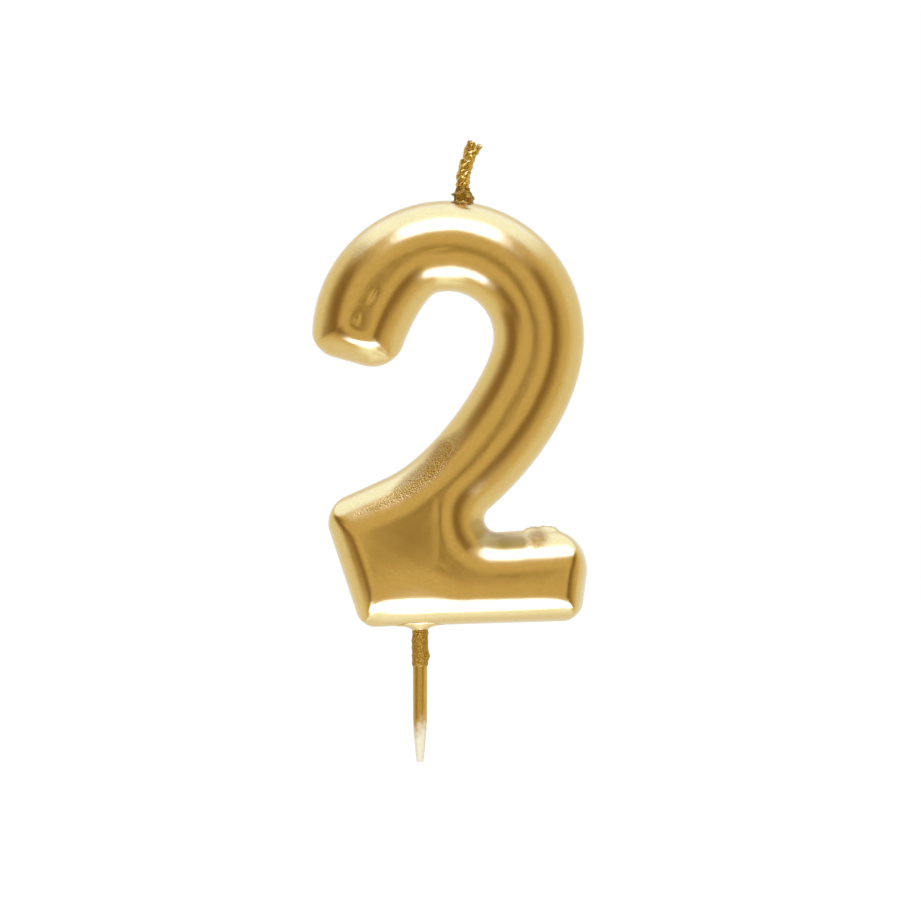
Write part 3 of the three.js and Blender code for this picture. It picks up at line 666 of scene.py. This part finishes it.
def wick_ply(index):
    """A ply: a helix round the wick's line that opens at the free end. Its section is an
    oval that swells and pinches, with the twist of its own strands and crinkles of film."""
    share = np.linspace(0, 1, PLY_STEPS)
    centre, direction = wick_line(share)
    across = np.stack([direction[:, 2], np.zeros(PLY_STEPS), -direction[:, 0]], 1)
    depth = np.tile([0.0, 1.0, 0.0], (PLY_STEPS, 1))
    risen = centre[:, 2] - centre[0, 2]
    turn = index * 2 * math.pi / 3 + risen * 2 * math.pi / WICK_LAY + PLY_START
    spread = PLY_SPREAD * smoothstep(share, SPREAD_START, 1.0) * SPREAD_SHARES[index]
    orbit = PLY_ORBIT - PINCH * bell(share - PINCH_PLACE, PINCH_LENGTH) + spread
    path = centre + orbit[:, None] * (np.cos(turn)[:, None] * across + np.sin(turn)[:, None] * depth)
    tangent = np.gradient(path, axis=0)
    tangent /= np.linalg.norm(tangent, axis=1)[:, None]
    outward = path - centre
    outward -= (outward * tangent).sum(1)[:, None] * tangent
    outward /= np.linalg.norm(outward, axis=1)[:, None]
    sideways = np.cross(tangent, outward)
    torn = TORN_ENDS[index]
    thinner = TORN_SHRINK * smoothstep(share, torn - TORN_LENGTH, torn)
    thinner += TIP_SHRINK * smoothstep(share, torn, 1.0)

    def section(angles, i):
        oval = PLY_RADIUS * (1.0 + PLY_OVAL * np.sin(angles) ** 2)
        strands = STRAND_HEIGHT * np.sin(STRAND_COUNT * angles + risen[i] * STRAND_TWIST)
        spots = around_axis(angles, CRINKLE_ROUND, risen[i] * CRINKLE_ALONG)
        crinkle = CRINKLE * wave_noise(spots, 3.4, 31 + index, 2)
        fine_crinkle = FINE_CRINKLE * wave_noise(spots, 1.2, 35 + index, 2)
        return (oval + strands + crinkle + fine_crinkle) * (1 - thinner[i])

    return tube_grid(path, outward, sideways, section, PLY_SIDES)


def frayed_fibres():
    """The loose fibres at the wick's torn end: thin tapering tubes that start inside the
    plies and lean outwards in two tufts with a notch between them."""
    rng = np.random.default_rng(7)
    top, direction = (value[0] for value in wick_line(np.array([1.0])))
    side = np.array([direction[2], 0, -direction[0]])
    depth = np.array([0.0, 1.0, 0.0])
    share = np.linspace(0, 1, FIBRE_STEPS)[:, None]
    vertices, faces = [], []
    for index in range(FIBRE_COUNT):
        tuft = -1 if index % 2 else 1
        start = top - direction * rng.uniform(0.9, 1.4)
        start = start + side * (tuft * rng.uniform(0.2, 0.85)) + depth * rng.uniform(-0.7, 0.7)
        tall = rng.uniform(0.8, 1.05) if tuft < 0 else rng.uniform(0.85, 1.25)
        lean = tuft * rng.uniform(0.0, 0.38) + rng.normal(0, 0.08)
        away = rng.normal(0, 0.22)
        path = start + direction * tall * share + (side * lean + depth * away) * share ** 1.6
        thick = rng.uniform(0.12, 0.20)
        tangent = np.gradient(path, axis=0)
        tangent /= np.linalg.norm(tangent, axis=1)[:, None]
        u = np.cross(tangent, [0.0, 1.0, 0.3])
        u /= np.linalg.norm(u, axis=1)[:, None]
        v = np.cross(tangent, u)
        taper = thick * (1 - 0.6 * share)
        grid, quads = tube_grid(path, u, v, lambda angles, i, taper=taper: np.tile(taper[i], len(angles)),
                                FIBRE_SIDES)
        faces += [tuple(index * len(grid) + point for point in quad) for quad in quads]
        vertices.append(grid)
    return np.concatenate(vertices), faces


def lump_ring(x, low, high, bore, rows, sides, outside):
    """A closed ring about an upright axis: a plain bore, and an outside that is at
    outside(angles, share of the height) from the axis."""
    angles = np.arange(sides) / sides * 2 * math.pi
    columns = [(np.full(sides, bore), high), (np.full(sides, bore), low)]
    columns += [(outside(angles, row / rows), low + (high - low) * row / rows) for row in range(rows + 1)]
    rings = [around_axis(angles, radius, z) + [x, 0, 0] for radius, z in columns]
    return np.concatenate(rings), ring_quads(len(rings), sides, closed=True)


def collar_surface():
    """The lump round the wick's root: a skirt that lies on the bowl, a waist, a lip that
    flares to the left, a bulge to the right and lumps of every size between."""
    def outside(angles, share):
        skirt = COLLAR_SKIRT * (1 - smoothstep(share, 0.0, COLLAR_SKIRT_TOP))
        closing = COLLAR_CLOSING * smoothstep(share, COLLAR_WAIST, 1.0)
        spots = around_axis(angles, 1.7, share * (COLLAR_HEIGHT + COLLAR_SKIRT_DEPTH))
        radius = COLLAR_RADIUS + skirt - closing + COLLAR_LUMPS * wave_noise(spots, 1.4, 21, 3)
        for side, size, spread, place, length in COLLAR_BULGES:
            radius = radius + size * bell(np.cos(angles) - side, spread) * bell(share - place, length)
        return np.maximum(COLLAR_LEAST, radius)

    vertices, faces = lump_ring(WICK_X, WICK_SEAT - COLLAR_SKIRT_DEPTH, WICK_SEAT + COLLAR_HEIGHT,
                                COLLAR_BORE, COLLAR_ROWS, COLLAR_SIDES, outside)
    # the skirt follows the bowl, which falls away to the front and the back
    x, y, z = vertices.T
    fall = COLLAR_FALL * y ** 2 * (1 - smoothstep(z, WICK_SEAT - 0.2, WICK_SEAT + 1.0))
    return np.stack([x, y, z - fall], 1), faces


def sleeve_surface():
    """The lacquer that ran down the pick: a thin wall with a bell for each bead, and grain."""
    def outside(angles, share):
        wall = SLEEVE_WALL * (SLEEVE_FOOT + (1 - SLEEVE_FOOT) * smoothstep(share, 0, SLEEVE_RUNOUT))
        for turn, place, size, spread in SLEEVE_BEADS:
            around = (1 - np.cos(angles - math.radians(turn))) / 2
            wall = wall + size * np.exp(-(around * 2.5 + ((share - place) / spread) ** 2) * 1.6)
        spots = around_axis(angles, 1.3, share * SLEEVE_LENGTH)
        wall = wall + SLEEVE_GRAIN * wave_noise(spots, 0.8, 44, 3)
        wall = wall + SLEEVE_FINE_GRAIN * wave_noise(spots, 0.3, 47, 2)
        return PICK_RADIUS + np.maximum(SLEEVE_LEAST, wall)

    return lump_ring(0.0, SLEEVE_TOP - SLEEVE_LENGTH, SLEEVE_TOP + SLEEVE_OVERLAP, PICK_RADIUS - 0.02,
                     SLEEVE_ROWS, SLEEVE_SIDES, outside)


def pick_surface():
    """The stick: round, with a taper whose radius grows by a power of the distance from the
    blunt cut tip, and the shallow facets of split wood."""
    low = -PICK_EXPOSED
    z = np.concatenate([[low, low + 0.02], np.linspace(low + 0.05, 0.5, PICK_STEPS)])
    share = np.clip((z - low) / PICK_TAPER, 0, 1)
    swell = 1 - (1 - share) ** PICK_BULGE
    radius = PICK_TIP_RADIUS + (PICK_RADIUS + PICK_FILM - PICK_TIP_RADIUS) * swell
    radius[0] *= 0.9
    centres = np.stack([np.zeros_like(z), np.zeros_like(z), z], 1)
    across = np.tile([1.0, 0, 0], (len(z), 1))
    up = np.tile([0, 1.0, 0], (len(z), 1))

    def section(angles, i):
        spots = around_axis(angles, 3.0, z[i] * 0.12)
        return radius[i] * (1 + PICK_FACETS * wave_noise(spots, 1.6, 61, 3))

    return tube_grid(centres, across, up, section, PICK_SIDES)


# Materials

# How fine the patterns are, as noise scales to a metre
GRAIN_SCALE = 6400
SPECKLE_SCALE = 4600
CLOUD_SCALE = 260
FIBRE_SCALE = 4200
STREAK_SCALE = 1100
FILM_EDGE_SCALE = 1500
WAX_SCALE = 300
FLOOR_SCALE = 3.0

# Colours. A film has a second, deeper tone between its grains.
GOLD = (0.92, 0.65, 0.24, 1)
GOLD_DEEP = (0.61, 0.385, 0.09, 1)
# painted dark reflection, laid above the foot's highlight beside the notch
PAINTED_REFLECTION_GOLD = (0.30, 0.15, 0.003, 1)
PIT_GOLD = (0.40, 0.19, 0.01, 1)
COLLAR_GOLD = (0.42, 0.23, 0.025, 1)
COLLAR_GOLD_DEEP = (0.22, 0.11, 0.01, 1)
SLEEVE_GOLD = (0.76, 0.47, 0.08, 1)
SLEEVE_GOLD_DEEP = (0.38, 0.20, 0.02, 1)
WICK_GOLD = (0.84, 0.53, 0.10, 1)
WICK_GOLD_DEEP = (0.42, 0.23, 0.03, 1)
STICK_GOLD = (0.95, 0.66, 0.18, 1)
STICK_GOLD_DEEP = (0.52, 0.32, 0.05, 1)
SHEEN_TINT = (1.0, 0.93, 0.82, 1)
WOOD_LIGHT = (0.99, 0.92, 0.69, 1)
WOOD_DARK = (0.84, 0.72, 0.5, 1)
WAX_LIGHT = (0.9, 0.87, 0.8, 1)
WAX_DARK = (0.8, 0.76, 0.66, 1)
FLOOR_DARK = (0.86, 0.86, 0.86, 1)
FLOOR_LIGHT = (0.88, 0.88, 0.88, 1)

# How the film takes its grain, and its speckles where Patch is high
GRAIN_STEP = 0.35  # height of the grain against the speckles'
SPECKLE_STEP = 4.5
GRAIN_ROUGHNESS = 0.05
PATCH_ROUGHNESS = 0.12
STIPPLE = (1.2, -0.25)  # how the grain's noise turns into the share of the deep tone
CLOUDINESS = 0.15
PIT_DEPTHS = (0.1, -0.05)  # speckle heights between which the pits' tone comes in
PIT_SHARES = (0.7, 1.0)
FILM_BUMP = 0.00006

# The stick's film, in metres along Z: it fades out between these places, which the noise
# and the slant across X move
FILM_FADE = (-0.0148, -0.0108)
FADE_NOISE = 0.004
FADE_SLANT = -0.8
STICK_PATCH = 0.25  # how speckled it is
WOOD_ROUGHNESS = 0.6
STICK_FILM_ROUGHNESS = 0.35
WOOD_STEP = 0.8  # height of the wood's fibres against the film's grain
STICK_BUMP = 0.00005
WAX_BUMP = 0.0002


def new_group(name, inputs, outputs):
    group = bpy.data.node_groups.new(name, "ShaderNodeTree")
    for kind, key, value in inputs:
        socket = group.interface.new_socket(key, in_out="INPUT", socket_type=kind)
        socket.default_value = value
    for kind, key in outputs:
        group.interface.new_socket(key, in_out="OUTPUT", socket_type=kind)
    return group, group.nodes.new("NodeGroupInput"), group.nodes.new("NodeGroupOutput")


def math_node(nodes, links, operation, a, b=None, c=None):
    node = nodes.new("ShaderNodeMath")
    node.operation = operation
    for socket, value in zip(node.inputs, (a, b, c)):
        if value is None:
            continue
        if isinstance(value, (int, float)):
            socket.default_value = value
        else:
            links.new(value, socket)
    return node.outputs[0]


def mix_colour(nodes, links, factor, a, b):
    node = nodes.new("ShaderNodeMix")
    node.data_type = "RGBA"
    for socket, value in ((node.inputs[0], factor), (node.inputs[6], a), (node.inputs[7], b)):
        if isinstance(value, (int, float, tuple)):
            socket.default_value = value
        else:
            links.new(value, socket)
    return node.outputs[2]


def noise(nodes, links, vector, scale, detail, roughness):
    node = nodes.new("ShaderNodeTexNoise")
    links.new(vector, node.inputs["Vector"])
    node.inputs["Scale"].default_value = scale
    node.inputs["Detail"].default_value = detail
    node.inputs["Roughness"].default_value = roughness
    return node.outputs["Fac"]


def map_range(nodes, links, value, source, target=(0.0, 1.0), kind="LINEAR"):
    node = nodes.new("ShaderNodeMapRange")
    node.interpolation_type = kind
    for key, bound in zip(("From Min", "From Max", "To Min", "To Max"), (*source, *target)):
        node.inputs[key].default_value = bound
    links.new(value, node.inputs["Value"])
    return node.outputs["Result"]


def film_group():
    """The metallic film: a fine grain all over, coarse speckles where Patch is high, and a
    darker tone where the second mask is high, which is a painted dark reflection."""
    group, start, end = new_group(
        "metal_film",
        [("NodeSocketColor", "Base", GOLD), ("NodeSocketColor", "Deep", GOLD_DEEP),
         ("NodeSocketFloat", "Patch", 0.0), ("NodeSocketFloat", "Painted Reflection", 0.0),
         ("NodeSocketFloat", "Roughness", 0.16)],
        [("NodeSocketColor", "Color"), ("NodeSocketFloat", "Roughness"), ("NodeSocketFloat", "Height")])
    nodes, links = group.nodes, group.links
    patch = start.outputs["Patch"]
    place = nodes.new("ShaderNodeTexCoord").outputs["Object"]
    grain = noise(nodes, links, place, GRAIN_SCALE, 2.0, 0.6)
    cloud = noise(nodes, links, place, CLOUD_SCALE, 3.0, 0.5)
    speckle = noise(nodes, links, place, SPECKLE_SCALE, 1.0, 0.5)
    sharp = math_node(nodes, links, "SUBTRACT", speckle, 0.5)
    sharp = math_node(nodes, links, "MULTIPLY", sharp, patch)
    height = math_node(nodes, links, "MULTIPLY", grain, GRAIN_STEP)
    height = math_node(nodes, links, "MULTIPLY_ADD", sharp, SPECKLE_STEP, height)
    rough = math_node(nodes, links, "MULTIPLY_ADD", grain, GRAIN_ROUGHNESS, start.outputs["Roughness"])
    rough = math_node(nodes, links, "MULTIPLY_ADD", patch, PATCH_ROUGHNESS, rough)
    stipple = math_node(nodes, links, "MULTIPLY_ADD", grain, *STIPPLE)
    deep = math_node(nodes, links, "MULTIPLY_ADD", cloud, CLOUDINESS, stipple)
    colour = mix_colour(nodes, links, deep, start.outputs["Base"], start.outputs["Deep"])
    pits = map_range(nodes, links, sharp, PIT_DEPTHS, PIT_SHARES)
    pits = math_node(nodes, links, "MULTIPLY", pits, patch)
    # painted dark reflection: the film turns darker where the second mask is high
    colour = mix_colour(nodes, links, start.outputs["Painted Reflection"], colour, PAINTED_REFLECTION_GOLD)
    links.new(mix_colour(nodes, links, pits, colour, PIT_GOLD), end.inputs["Color"])
    links.new(rough, end.inputs["Roughness"])
    links.new(height, end.inputs["Height"])
    return group


def wood_group():
    """Pale split wood: fine fibres along Z and a few darker streaks."""
    group, start, end = new_group(
        "pale_wood",
        [("NodeSocketColor", "Light", WOOD_LIGHT), ("NodeSocketColor", "Dark", WOOD_DARK)],
        [("NodeSocketColor", "Color"), ("NodeSocketFloat", "Height")])
    nodes, links = group.nodes, group.links
    place = nodes.new("ShaderNodeTexCoord").outputs["Object"]
    stretch = nodes.new("ShaderNodeVectorMath")
    stretch.operation = "MULTIPLY"
    stretch.inputs[1].default_value = (1, 1, 0.06)
    links.new(place, stretch.inputs[0])
    fibres = noise(nodes, links, stretch.outputs[0], FIBRE_SCALE, 4.0, 0.6)
    streaks = noise(nodes, links, stretch.outputs[0], STREAK_SCALE, 2.0, 0.5)
    dark = math_node(nodes, links, "MULTIPLY", fibres, streaks)
    colour = mix_colour(nodes, links, dark, start.outputs["Light"], start.outputs["Dark"])
    links.new(colour, end.inputs["Color"])
    links.new(fibres, end.inputs["Height"])
    return group


FILM = film_group()
WOOD = wood_group()


def new_material(name):
    material = bpy.data.materials.new(name)
    material.use_nodes = True
    tree = material.node_tree
    return material, tree.nodes, tree.links, tree.nodes["Principled BSDF"]


def bump(nodes, links, height, shader, strength, distance):
    node = nodes.new("ShaderNodeBump")
    node.inputs["Strength"].default_value = strength
    node.inputs["Distance"].default_value = distance
    links.new(height, node.inputs["Height"])
    links.new(node.outputs["Normal"], shader.inputs["Normal"])


def placed_film(nodes, base, deep):
    film = nodes.new("ShaderNodeGroup")
    film.node_tree = FILM
    film.inputs["Base"].default_value = base
    film.inputs["Deep"].default_value = deep
    return film


def film_material(name, base, deep, patch, roughness, strength, coat, sheen):
    """Metallic lacquer. patch is a number, or the name of the mesh's mask for speckles,
    beside which it has one for a painted dark reflection."""
    material, nodes, links, shader = new_material(name)
    film = placed_film(nodes, base, deep)
    film.inputs["Roughness"].default_value = roughness
    if isinstance(patch, str):
        for socket, mask_name in (("Patch", patch), ("Painted Reflection", "pool")):
            mask = nodes.new("ShaderNodeAttribute")
            mask.attribute_name = mask_name
            links.new(mask.outputs["Fac"], film.inputs[socket])
    else:
        film.inputs["Patch"].default_value = patch
    shader.inputs["Metallic"].default_value = 1.0
    shader.inputs["Coat Weight"].default_value = coat
    shader.inputs["Coat Roughness"].default_value = 0.08
    shader.inputs["Sheen Weight"].default_value = sheen
    shader.inputs["Sheen Roughness"].default_value = 0.35
    shader.inputs["Sheen Tint"].default_value = SHEEN_TINT
    links.new(film.outputs["Color"], shader.inputs["Base Color"])
    links.new(film.outputs["Roughness"], shader.inputs["Roughness"])
    bump(nodes, links, film.outputs["Height"], shader, strength, FILM_BUMP)
    return material


def pick_material():
    """Bare wood at the point, under a thin film that fades out above it."""
    material, nodes, links, shader = new_material("pick_finish")
    film = placed_film(nodes, STICK_GOLD, STICK_GOLD_DEEP)
    film.inputs["Patch"].default_value = STICK_PATCH
    wood = nodes.new("ShaderNodeGroup")
    wood.node_tree = WOOD
    place = nodes.new("ShaderNodeTexCoord").outputs["Object"]
    parts = nodes.new("ShaderNodeSeparateXYZ")
    links.new(place, parts.inputs[0])
    ragged = noise(nodes, links, place, FILM_EDGE_SCALE, 3.0, 0.6)
    edge = math_node(nodes, links, "MULTIPLY_ADD", ragged, FADE_NOISE, parts.outputs["Z"])
    edge = math_node(nodes, links, "MULTIPLY_ADD", parts.outputs["X"], FADE_SLANT, edge)
    cover = map_range(nodes, links, edge, FILM_FADE, kind="SMOOTHSTEP")
    colour = mix_colour(nodes, links, cover, wood.outputs["Color"], film.outputs["Color"])
    links.new(colour, shader.inputs["Base Color"])
    links.new(cover, shader.inputs["Metallic"])
    smoother = STICK_FILM_ROUGHNESS - WOOD_ROUGHNESS
    rough = math_node(nodes, links, "MULTIPLY_ADD", cover, smoother, WOOD_ROUGHNESS)
    links.new(rough, shader.inputs["Roughness"])
    fibres, grain = wood.outputs["Height"], film.outputs["Height"]
    height = math_node(nodes, links, "MULTIPLY_ADD", fibres, WOOD_STEP, grain)
    bump(nodes, links, height, shader, 0.6, STICK_BUMP)
    return material


def wax_material():
    """The wax under the coat, which shows only where a piece is taken away."""
    material, nodes, links, shader = new_material("wax_finish")
    place = nodes.new("ShaderNodeTexCoord").outputs["Object"]
    cloud = noise(nodes, links, place, WAX_SCALE, 4.0, 0.55)
    links.new(mix_colour(nodes, links, cloud, WAX_LIGHT, WAX_DARK), shader.inputs["Base Color"])
    shader.inputs["Roughness"].default_value = 0.5
    shader.inputs["Subsurface Weight"].default_value = 0.2
    shader.inputs["Subsurface Scale"].default_value = 0.002
    bump(nodes, links, cloud, shader, 0.2, WAX_BUMP)
    return material


# The pieces

def place_piece(name, surface, material, slot, *replaced, attributes=None):
    obj = mesh_object(name, *surface, attributes)
    obj.data.materials.append(material)
    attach(obj, "root")
    if replaced:
        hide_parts(*replaced)
    return obj


SMOOTH_COAT = {"roughness": 0.165, "strength": 0.5, "coat": 0.6, "sheen": 0.25}

coat_finish = film_material("coat_finish", GOLD, GOLD_DEEP, patch="speckle", **SMOOTH_COAT)
fillet_finish = film_material("fillet_finish", GOLD, GOLD_DEEP, patch=0.0, **SMOOTH_COAT)
collar_finish = film_material("collar_finish", COLLAR_GOLD, COLLAR_GOLD_DEEP,
                              patch=0.16, roughness=0.30, strength=0.9, coat=0.12, sheen=0.0)
sleeve_finish = film_material("sleeve_finish", SLEEVE_GOLD, SLEEVE_GOLD_DEEP,
                              patch=0.6, roughness=0.32, strength=1.0, coat=0.1, sheen=0.0)
wick_finish = film_material("wick_finish", WICK_GOLD, WICK_GOLD_DEEP,
                            patch=0.10, roughness=0.22, strength=0.8, coat=0.2, sheen=0.0)
pick_finish = pick_material()

*coat_shape, coat_masks = coat_surface()
coat = place_piece("coat_film", coat_shape, coat_finish, "lacquer", "dip_coat", attributes=coat_masks)
for ply in range(3):
    place_piece(f"wick_strand_{ply + 1}", wick_ply(ply), wick_finish, "wick", f"wick_ply_{ply + 1}")
place_piece("wick_fibres", frayed_fibres(), wick_finish, "wick")
place_piece("coat_fillet", fillet_surface(), fillet_finish, "lacquer")
place_piece("collar_lump", collar_surface(), collar_finish, "lacquer", "wick_collar")
sleeve = place_piece("sleeve_lump", sleeve_surface(), sleeve_finish, "lacquer", "pick_sleeve")
stick = place_piece("pick_stick", pick_surface(), pick_finish, "wood", "pick")
wax_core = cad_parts["wax_core"]
wax_core.data.materials.clear()
wax_core.data.materials.append(wax_material())
# the coat mirrors neither itself nor the pick below it
for obj in (coat, sleeve, stick, wax_core):
    obj.visible_glossy = False


# The studio

# What the metal mirrors: the front panel, the darks at its sides, the lens's own shadow,
# the pale room and the softboxes
PANEL = (0.69, 0.59, 0.34)
FLAG = (0.26, 0.175, 0.07)
LENS = (0.17, 0.115, 0.04)
RIM = (0.86, 0.88, 0.80)
RIM_BRIGHT = (1.2, 1.55, 2.5)
RIM_LOW = (1.15, 1.4, 1.9)
SOFTBOX = (3.0, 4.0, 9.0)

# Where the tent's cards are, in degrees: the middle, half width and softness of each round
# the line to the camera, and the band of angles from that line with its edges' softness
FLAG_CARDS = (
    ((-4, 50, 9), (30, 56, 6, 13)), ((169, 32, 8), (52, 86, 9, 17)), ((204, 20, 9), (38, 62, 9, 13)))
BRIGHT_CARDS = (
    ((90, 42, 10), (72, 124, 4, 14), RIM_BRIGHT),
    ((268, 14, 8), (72, 108, 4, 18), RIM_LOW),
    ((89.5, 25, 5), (42, 69, 6, 7), SOFTBOX),
    ((267, 37, 5), (50, 65, 5, 5), SOFTBOX),
    ((268, 12, 8), (50, 74, 5, 5), SOFTBOX))
LENS_WAY = np.array([-0.08, -0.9965, 0.01])
LENS_EDGE = (3.0, 10.0)
ROOM_EDGE = (70, 96)  # where the panel gives way to the pale room
TENT_RINGS = 180
TENT_SIDES = 360

# In metres, where nothing else is said
TENT_CENTRE_Z = 0.02612
TENT_RADIUS = 0.6
FLOOR_Z = -0.09
FLOOR_GAP = 0.002  # between the tent and the floor
FLOOR_REACH = 4.0
FLOOR_GLOW = 0.6
AMBIENT = 0.5  # what the world gives as light, where its backdrop is 1
CAMERA_DISTANCE = 0.9
SENSOR_WIDTH = 36.0  # millimetres

PIXEL = 0.15  # millimetres to a pixel of the photograph's frame
FRAME_PIXELS = 921
VIEW_CENTRE = (6.07, 25.12)  # millimetres

scene = bpy.context.scene
camera_data = bpy.data.cameras.new("camera")
camera_data.sensor_width = SENSOR_WIDTH
camera_data.lens = SENSOR_WIDTH * CAMERA_DISTANCE / (FRAME_PIXELS * PIXEL * MM)
camera_data.clip_start = 0.01
camera_data.clip_end = 50.0
camera = bpy.data.objects.new("camera", camera_data)
camera.location = (VIEW_CENTRE[0] * MM, -CAMERA_DISTANCE, VIEW_CENTRE[1] * MM)
camera.rotation_euler = (math.pi / 2, 0, 0)
scene.collection.objects.link(camera)
scene.camera = camera


def shown_to_reflections(nodes, links):
    """1 for camera, glossy and transmission rays, and 0 for the rest."""
    rays = nodes.new("ShaderNodeLightPath").outputs
    seen = math_node(nodes, links, "MAXIMUM", rays["Is Camera Ray"], rays["Is Glossy Ray"])
    return math_node(nodes, links, "MAXIMUM", seen, rays["Is Transmission Ray"])


def backdrop():
    """A world that is white to look at and half as bright as a light."""
    world = bpy.data.worlds.new("world")
    world.use_nodes = True
    nodes, links = world.node_tree.nodes, world.node_tree.links
    shown = shown_to_reflections(nodes, links)
    background = nodes["Background"]
    background.inputs["Color"].default_value = (1, 1, 1, 1)
    strength = math_node(nodes, links, "MULTIPLY_ADD", shown, 1 - AMBIENT, AMBIENT)
    links.new(strength, background.inputs["Strength"])
    scene.world = world


def floor():
    """A pale floor that is as white as the backdrop except in the object's shadow."""
    reach, z = FLOOR_REACH / MM, FLOOR_Z / MM
    corners = [(-reach, -reach, z), (reach, -reach, z), (reach, reach, z), (-reach, reach, z)]
    obj = mesh_object("floor", corners, [(0, 1, 2, 3)], smooth=False)
    material, nodes, links, shader = new_material("floor_finish")
    place = nodes.new("ShaderNodeTexCoord").outputs["Object"]
    cloud = noise(nodes, links, place, FLOOR_SCALE, 2.0, 0.5)
    links.new(mix_colour(nodes, links, cloud, FLOOR_DARK, FLOOR_LIGHT), shader.inputs["Base Color"])
    shader.inputs["Roughness"].default_value = 0.9
    shader.inputs["Specular IOR Level"].default_value = 0.0
    shader.inputs["Emission Color"].default_value = (1, 1, 1, 1)
    glow = math_node(nodes, links, "MULTIPLY", shown_to_reflections(nodes, links), FLOOR_GLOW)
    links.new(glow, shader.inputs["Emission Strength"])
    obj.data.materials.append(material)


def tent_light(degrees, around, way):
    """The tent's colour in each direction: the cards are laid over the front panel in turn,
    each as the product of its sector and its band."""
    def card(sector, band):
        middle, half, soft = sector
        low, high, soft_low, soft_high = band
        away = np.abs((around - middle + 180) % 360 - 180)
        within = window(degrees, (low - soft_low, low + soft_low), (high - soft_high, high + soft_high))
        return (1 - smoothstep(away, half - soft, half + soft)) * within

    lens_angle = np.degrees(np.arccos(np.clip(way @ LENS_WAY, -1, 1)))
    layers = [(smoothstep(degrees, *ROOM_EDGE), RIM),
              (np.max([card(*flag) for flag in FLAG_CARDS], axis=0), FLAG),
              (1 - smoothstep(lens_angle, *LENS_EDGE), LENS)]
    layers += [(card(sector, band), tint) for sector, band, tint in BRIGHT_CARDS]
    colour = np.tile(PANEL, (len(way), 1))
    for mask, tint in layers:
        colour = colour + (np.asarray(tint) - colour) * mask[:, None]
    return colour


def tent_material():
    material = bpy.data.materials.new("tent_light")
    material.use_nodes = True
    nodes, links = material.node_tree.nodes, material.node_tree.links
    nodes.clear()
    source = nodes.new("ShaderNodeAttribute")
    source.attribute_name = "light"
    emission = nodes.new("ShaderNodeEmission")
    output = nodes.new("ShaderNodeOutputMaterial")
    links.new(source.outputs["Color"], emission.inputs["Color"])
    links.new(emission.outputs[0], output.inputs["Surface"])
    material.cycles.emission_sampling = "NONE"
    return material


def tent():
    """The light tent that the metal mirrors: a sphere round the object, cut level above the
    floor, whose brightness depends on the direction. Its angles are measured from the line
    to the camera, and round it from the right. It only shows in reflections."""
    polar, roll = np.meshgrid(np.linspace(0, math.pi, TENT_RINGS + 1),
                              np.arange(TENT_SIDES) / TENT_SIDES * 2 * math.pi, indexing="ij")
    way = np.stack([np.sin(polar) * np.cos(roll), -np.cos(polar), np.sin(polar) * np.sin(roll)], 2)
    way = way.reshape(-1, 3)
    to_floor = (TENT_CENTRE_Z - FLOOR_Z - FLOOR_GAP) / np.maximum(1e-6, -way[:, 2])
    radius = np.minimum(TENT_RADIUS, to_floor)
    centre = np.array([VIEW_CENTRE[0] * MM, 0, TENT_CENTRE_Z])
    vertices = (centre + way * radius[:, None]) / MM
    faces = ring_quads(TENT_RINGS + 1, TENT_SIDES, flipped=True)
    obj = mesh_object("light_tent", vertices, faces, smooth=False)
    layer = obj.data.attributes.new("light", "FLOAT_COLOR", "POINT")
    colour = tent_light(np.degrees(polar).ravel(), np.degrees(roll).ravel(), way)
    colour = np.concatenate([colour, np.ones((len(colour), 1))], 1)
    layer.data.foreach_set("color", colour.astype(np.float32).ravel())
    obj.data.materials.append(tent_material())
    obj.visible_camera = False
    obj.visible_diffuse = False
    obj.visible_shadow = False
    obj.visible_transmission = False


def softbox(name, location, target, size, power):
    """A rectangular lamp that faces its target and shows in no reflection."""
    data = bpy.data.lights.new(name, "AREA")
    data.shape = "RECTANGLE"
    data.size, data.size_y = size
    data.energy = power
    obj = bpy.data.objects.new(name, data)
    obj.location = location
    way = np.array(location) - np.array(target)
    obj.rotation_euler = (math.atan2(math.hypot(way[0], way[1]), way[2]), 0, math.atan2(way[0], -way[1]))
    obj.visible_glossy = False
    obj.visible_camera = False
    scene.collection.objects.link(obj)


backdrop()
floor()
tent()
softbox("top_softbox", location=(0.006, -0.35, 0.75), target=(0.006, 0, 0.03), size=(0.6, 0.5), power=4.0)
softbox("low_softbox", location=(0.006, -0.5, -0.02), target=(0.006, 0, 0.03), size=(0.5, 0.3), power=0.6)
scene.view_settings.view_transform = "Standard"
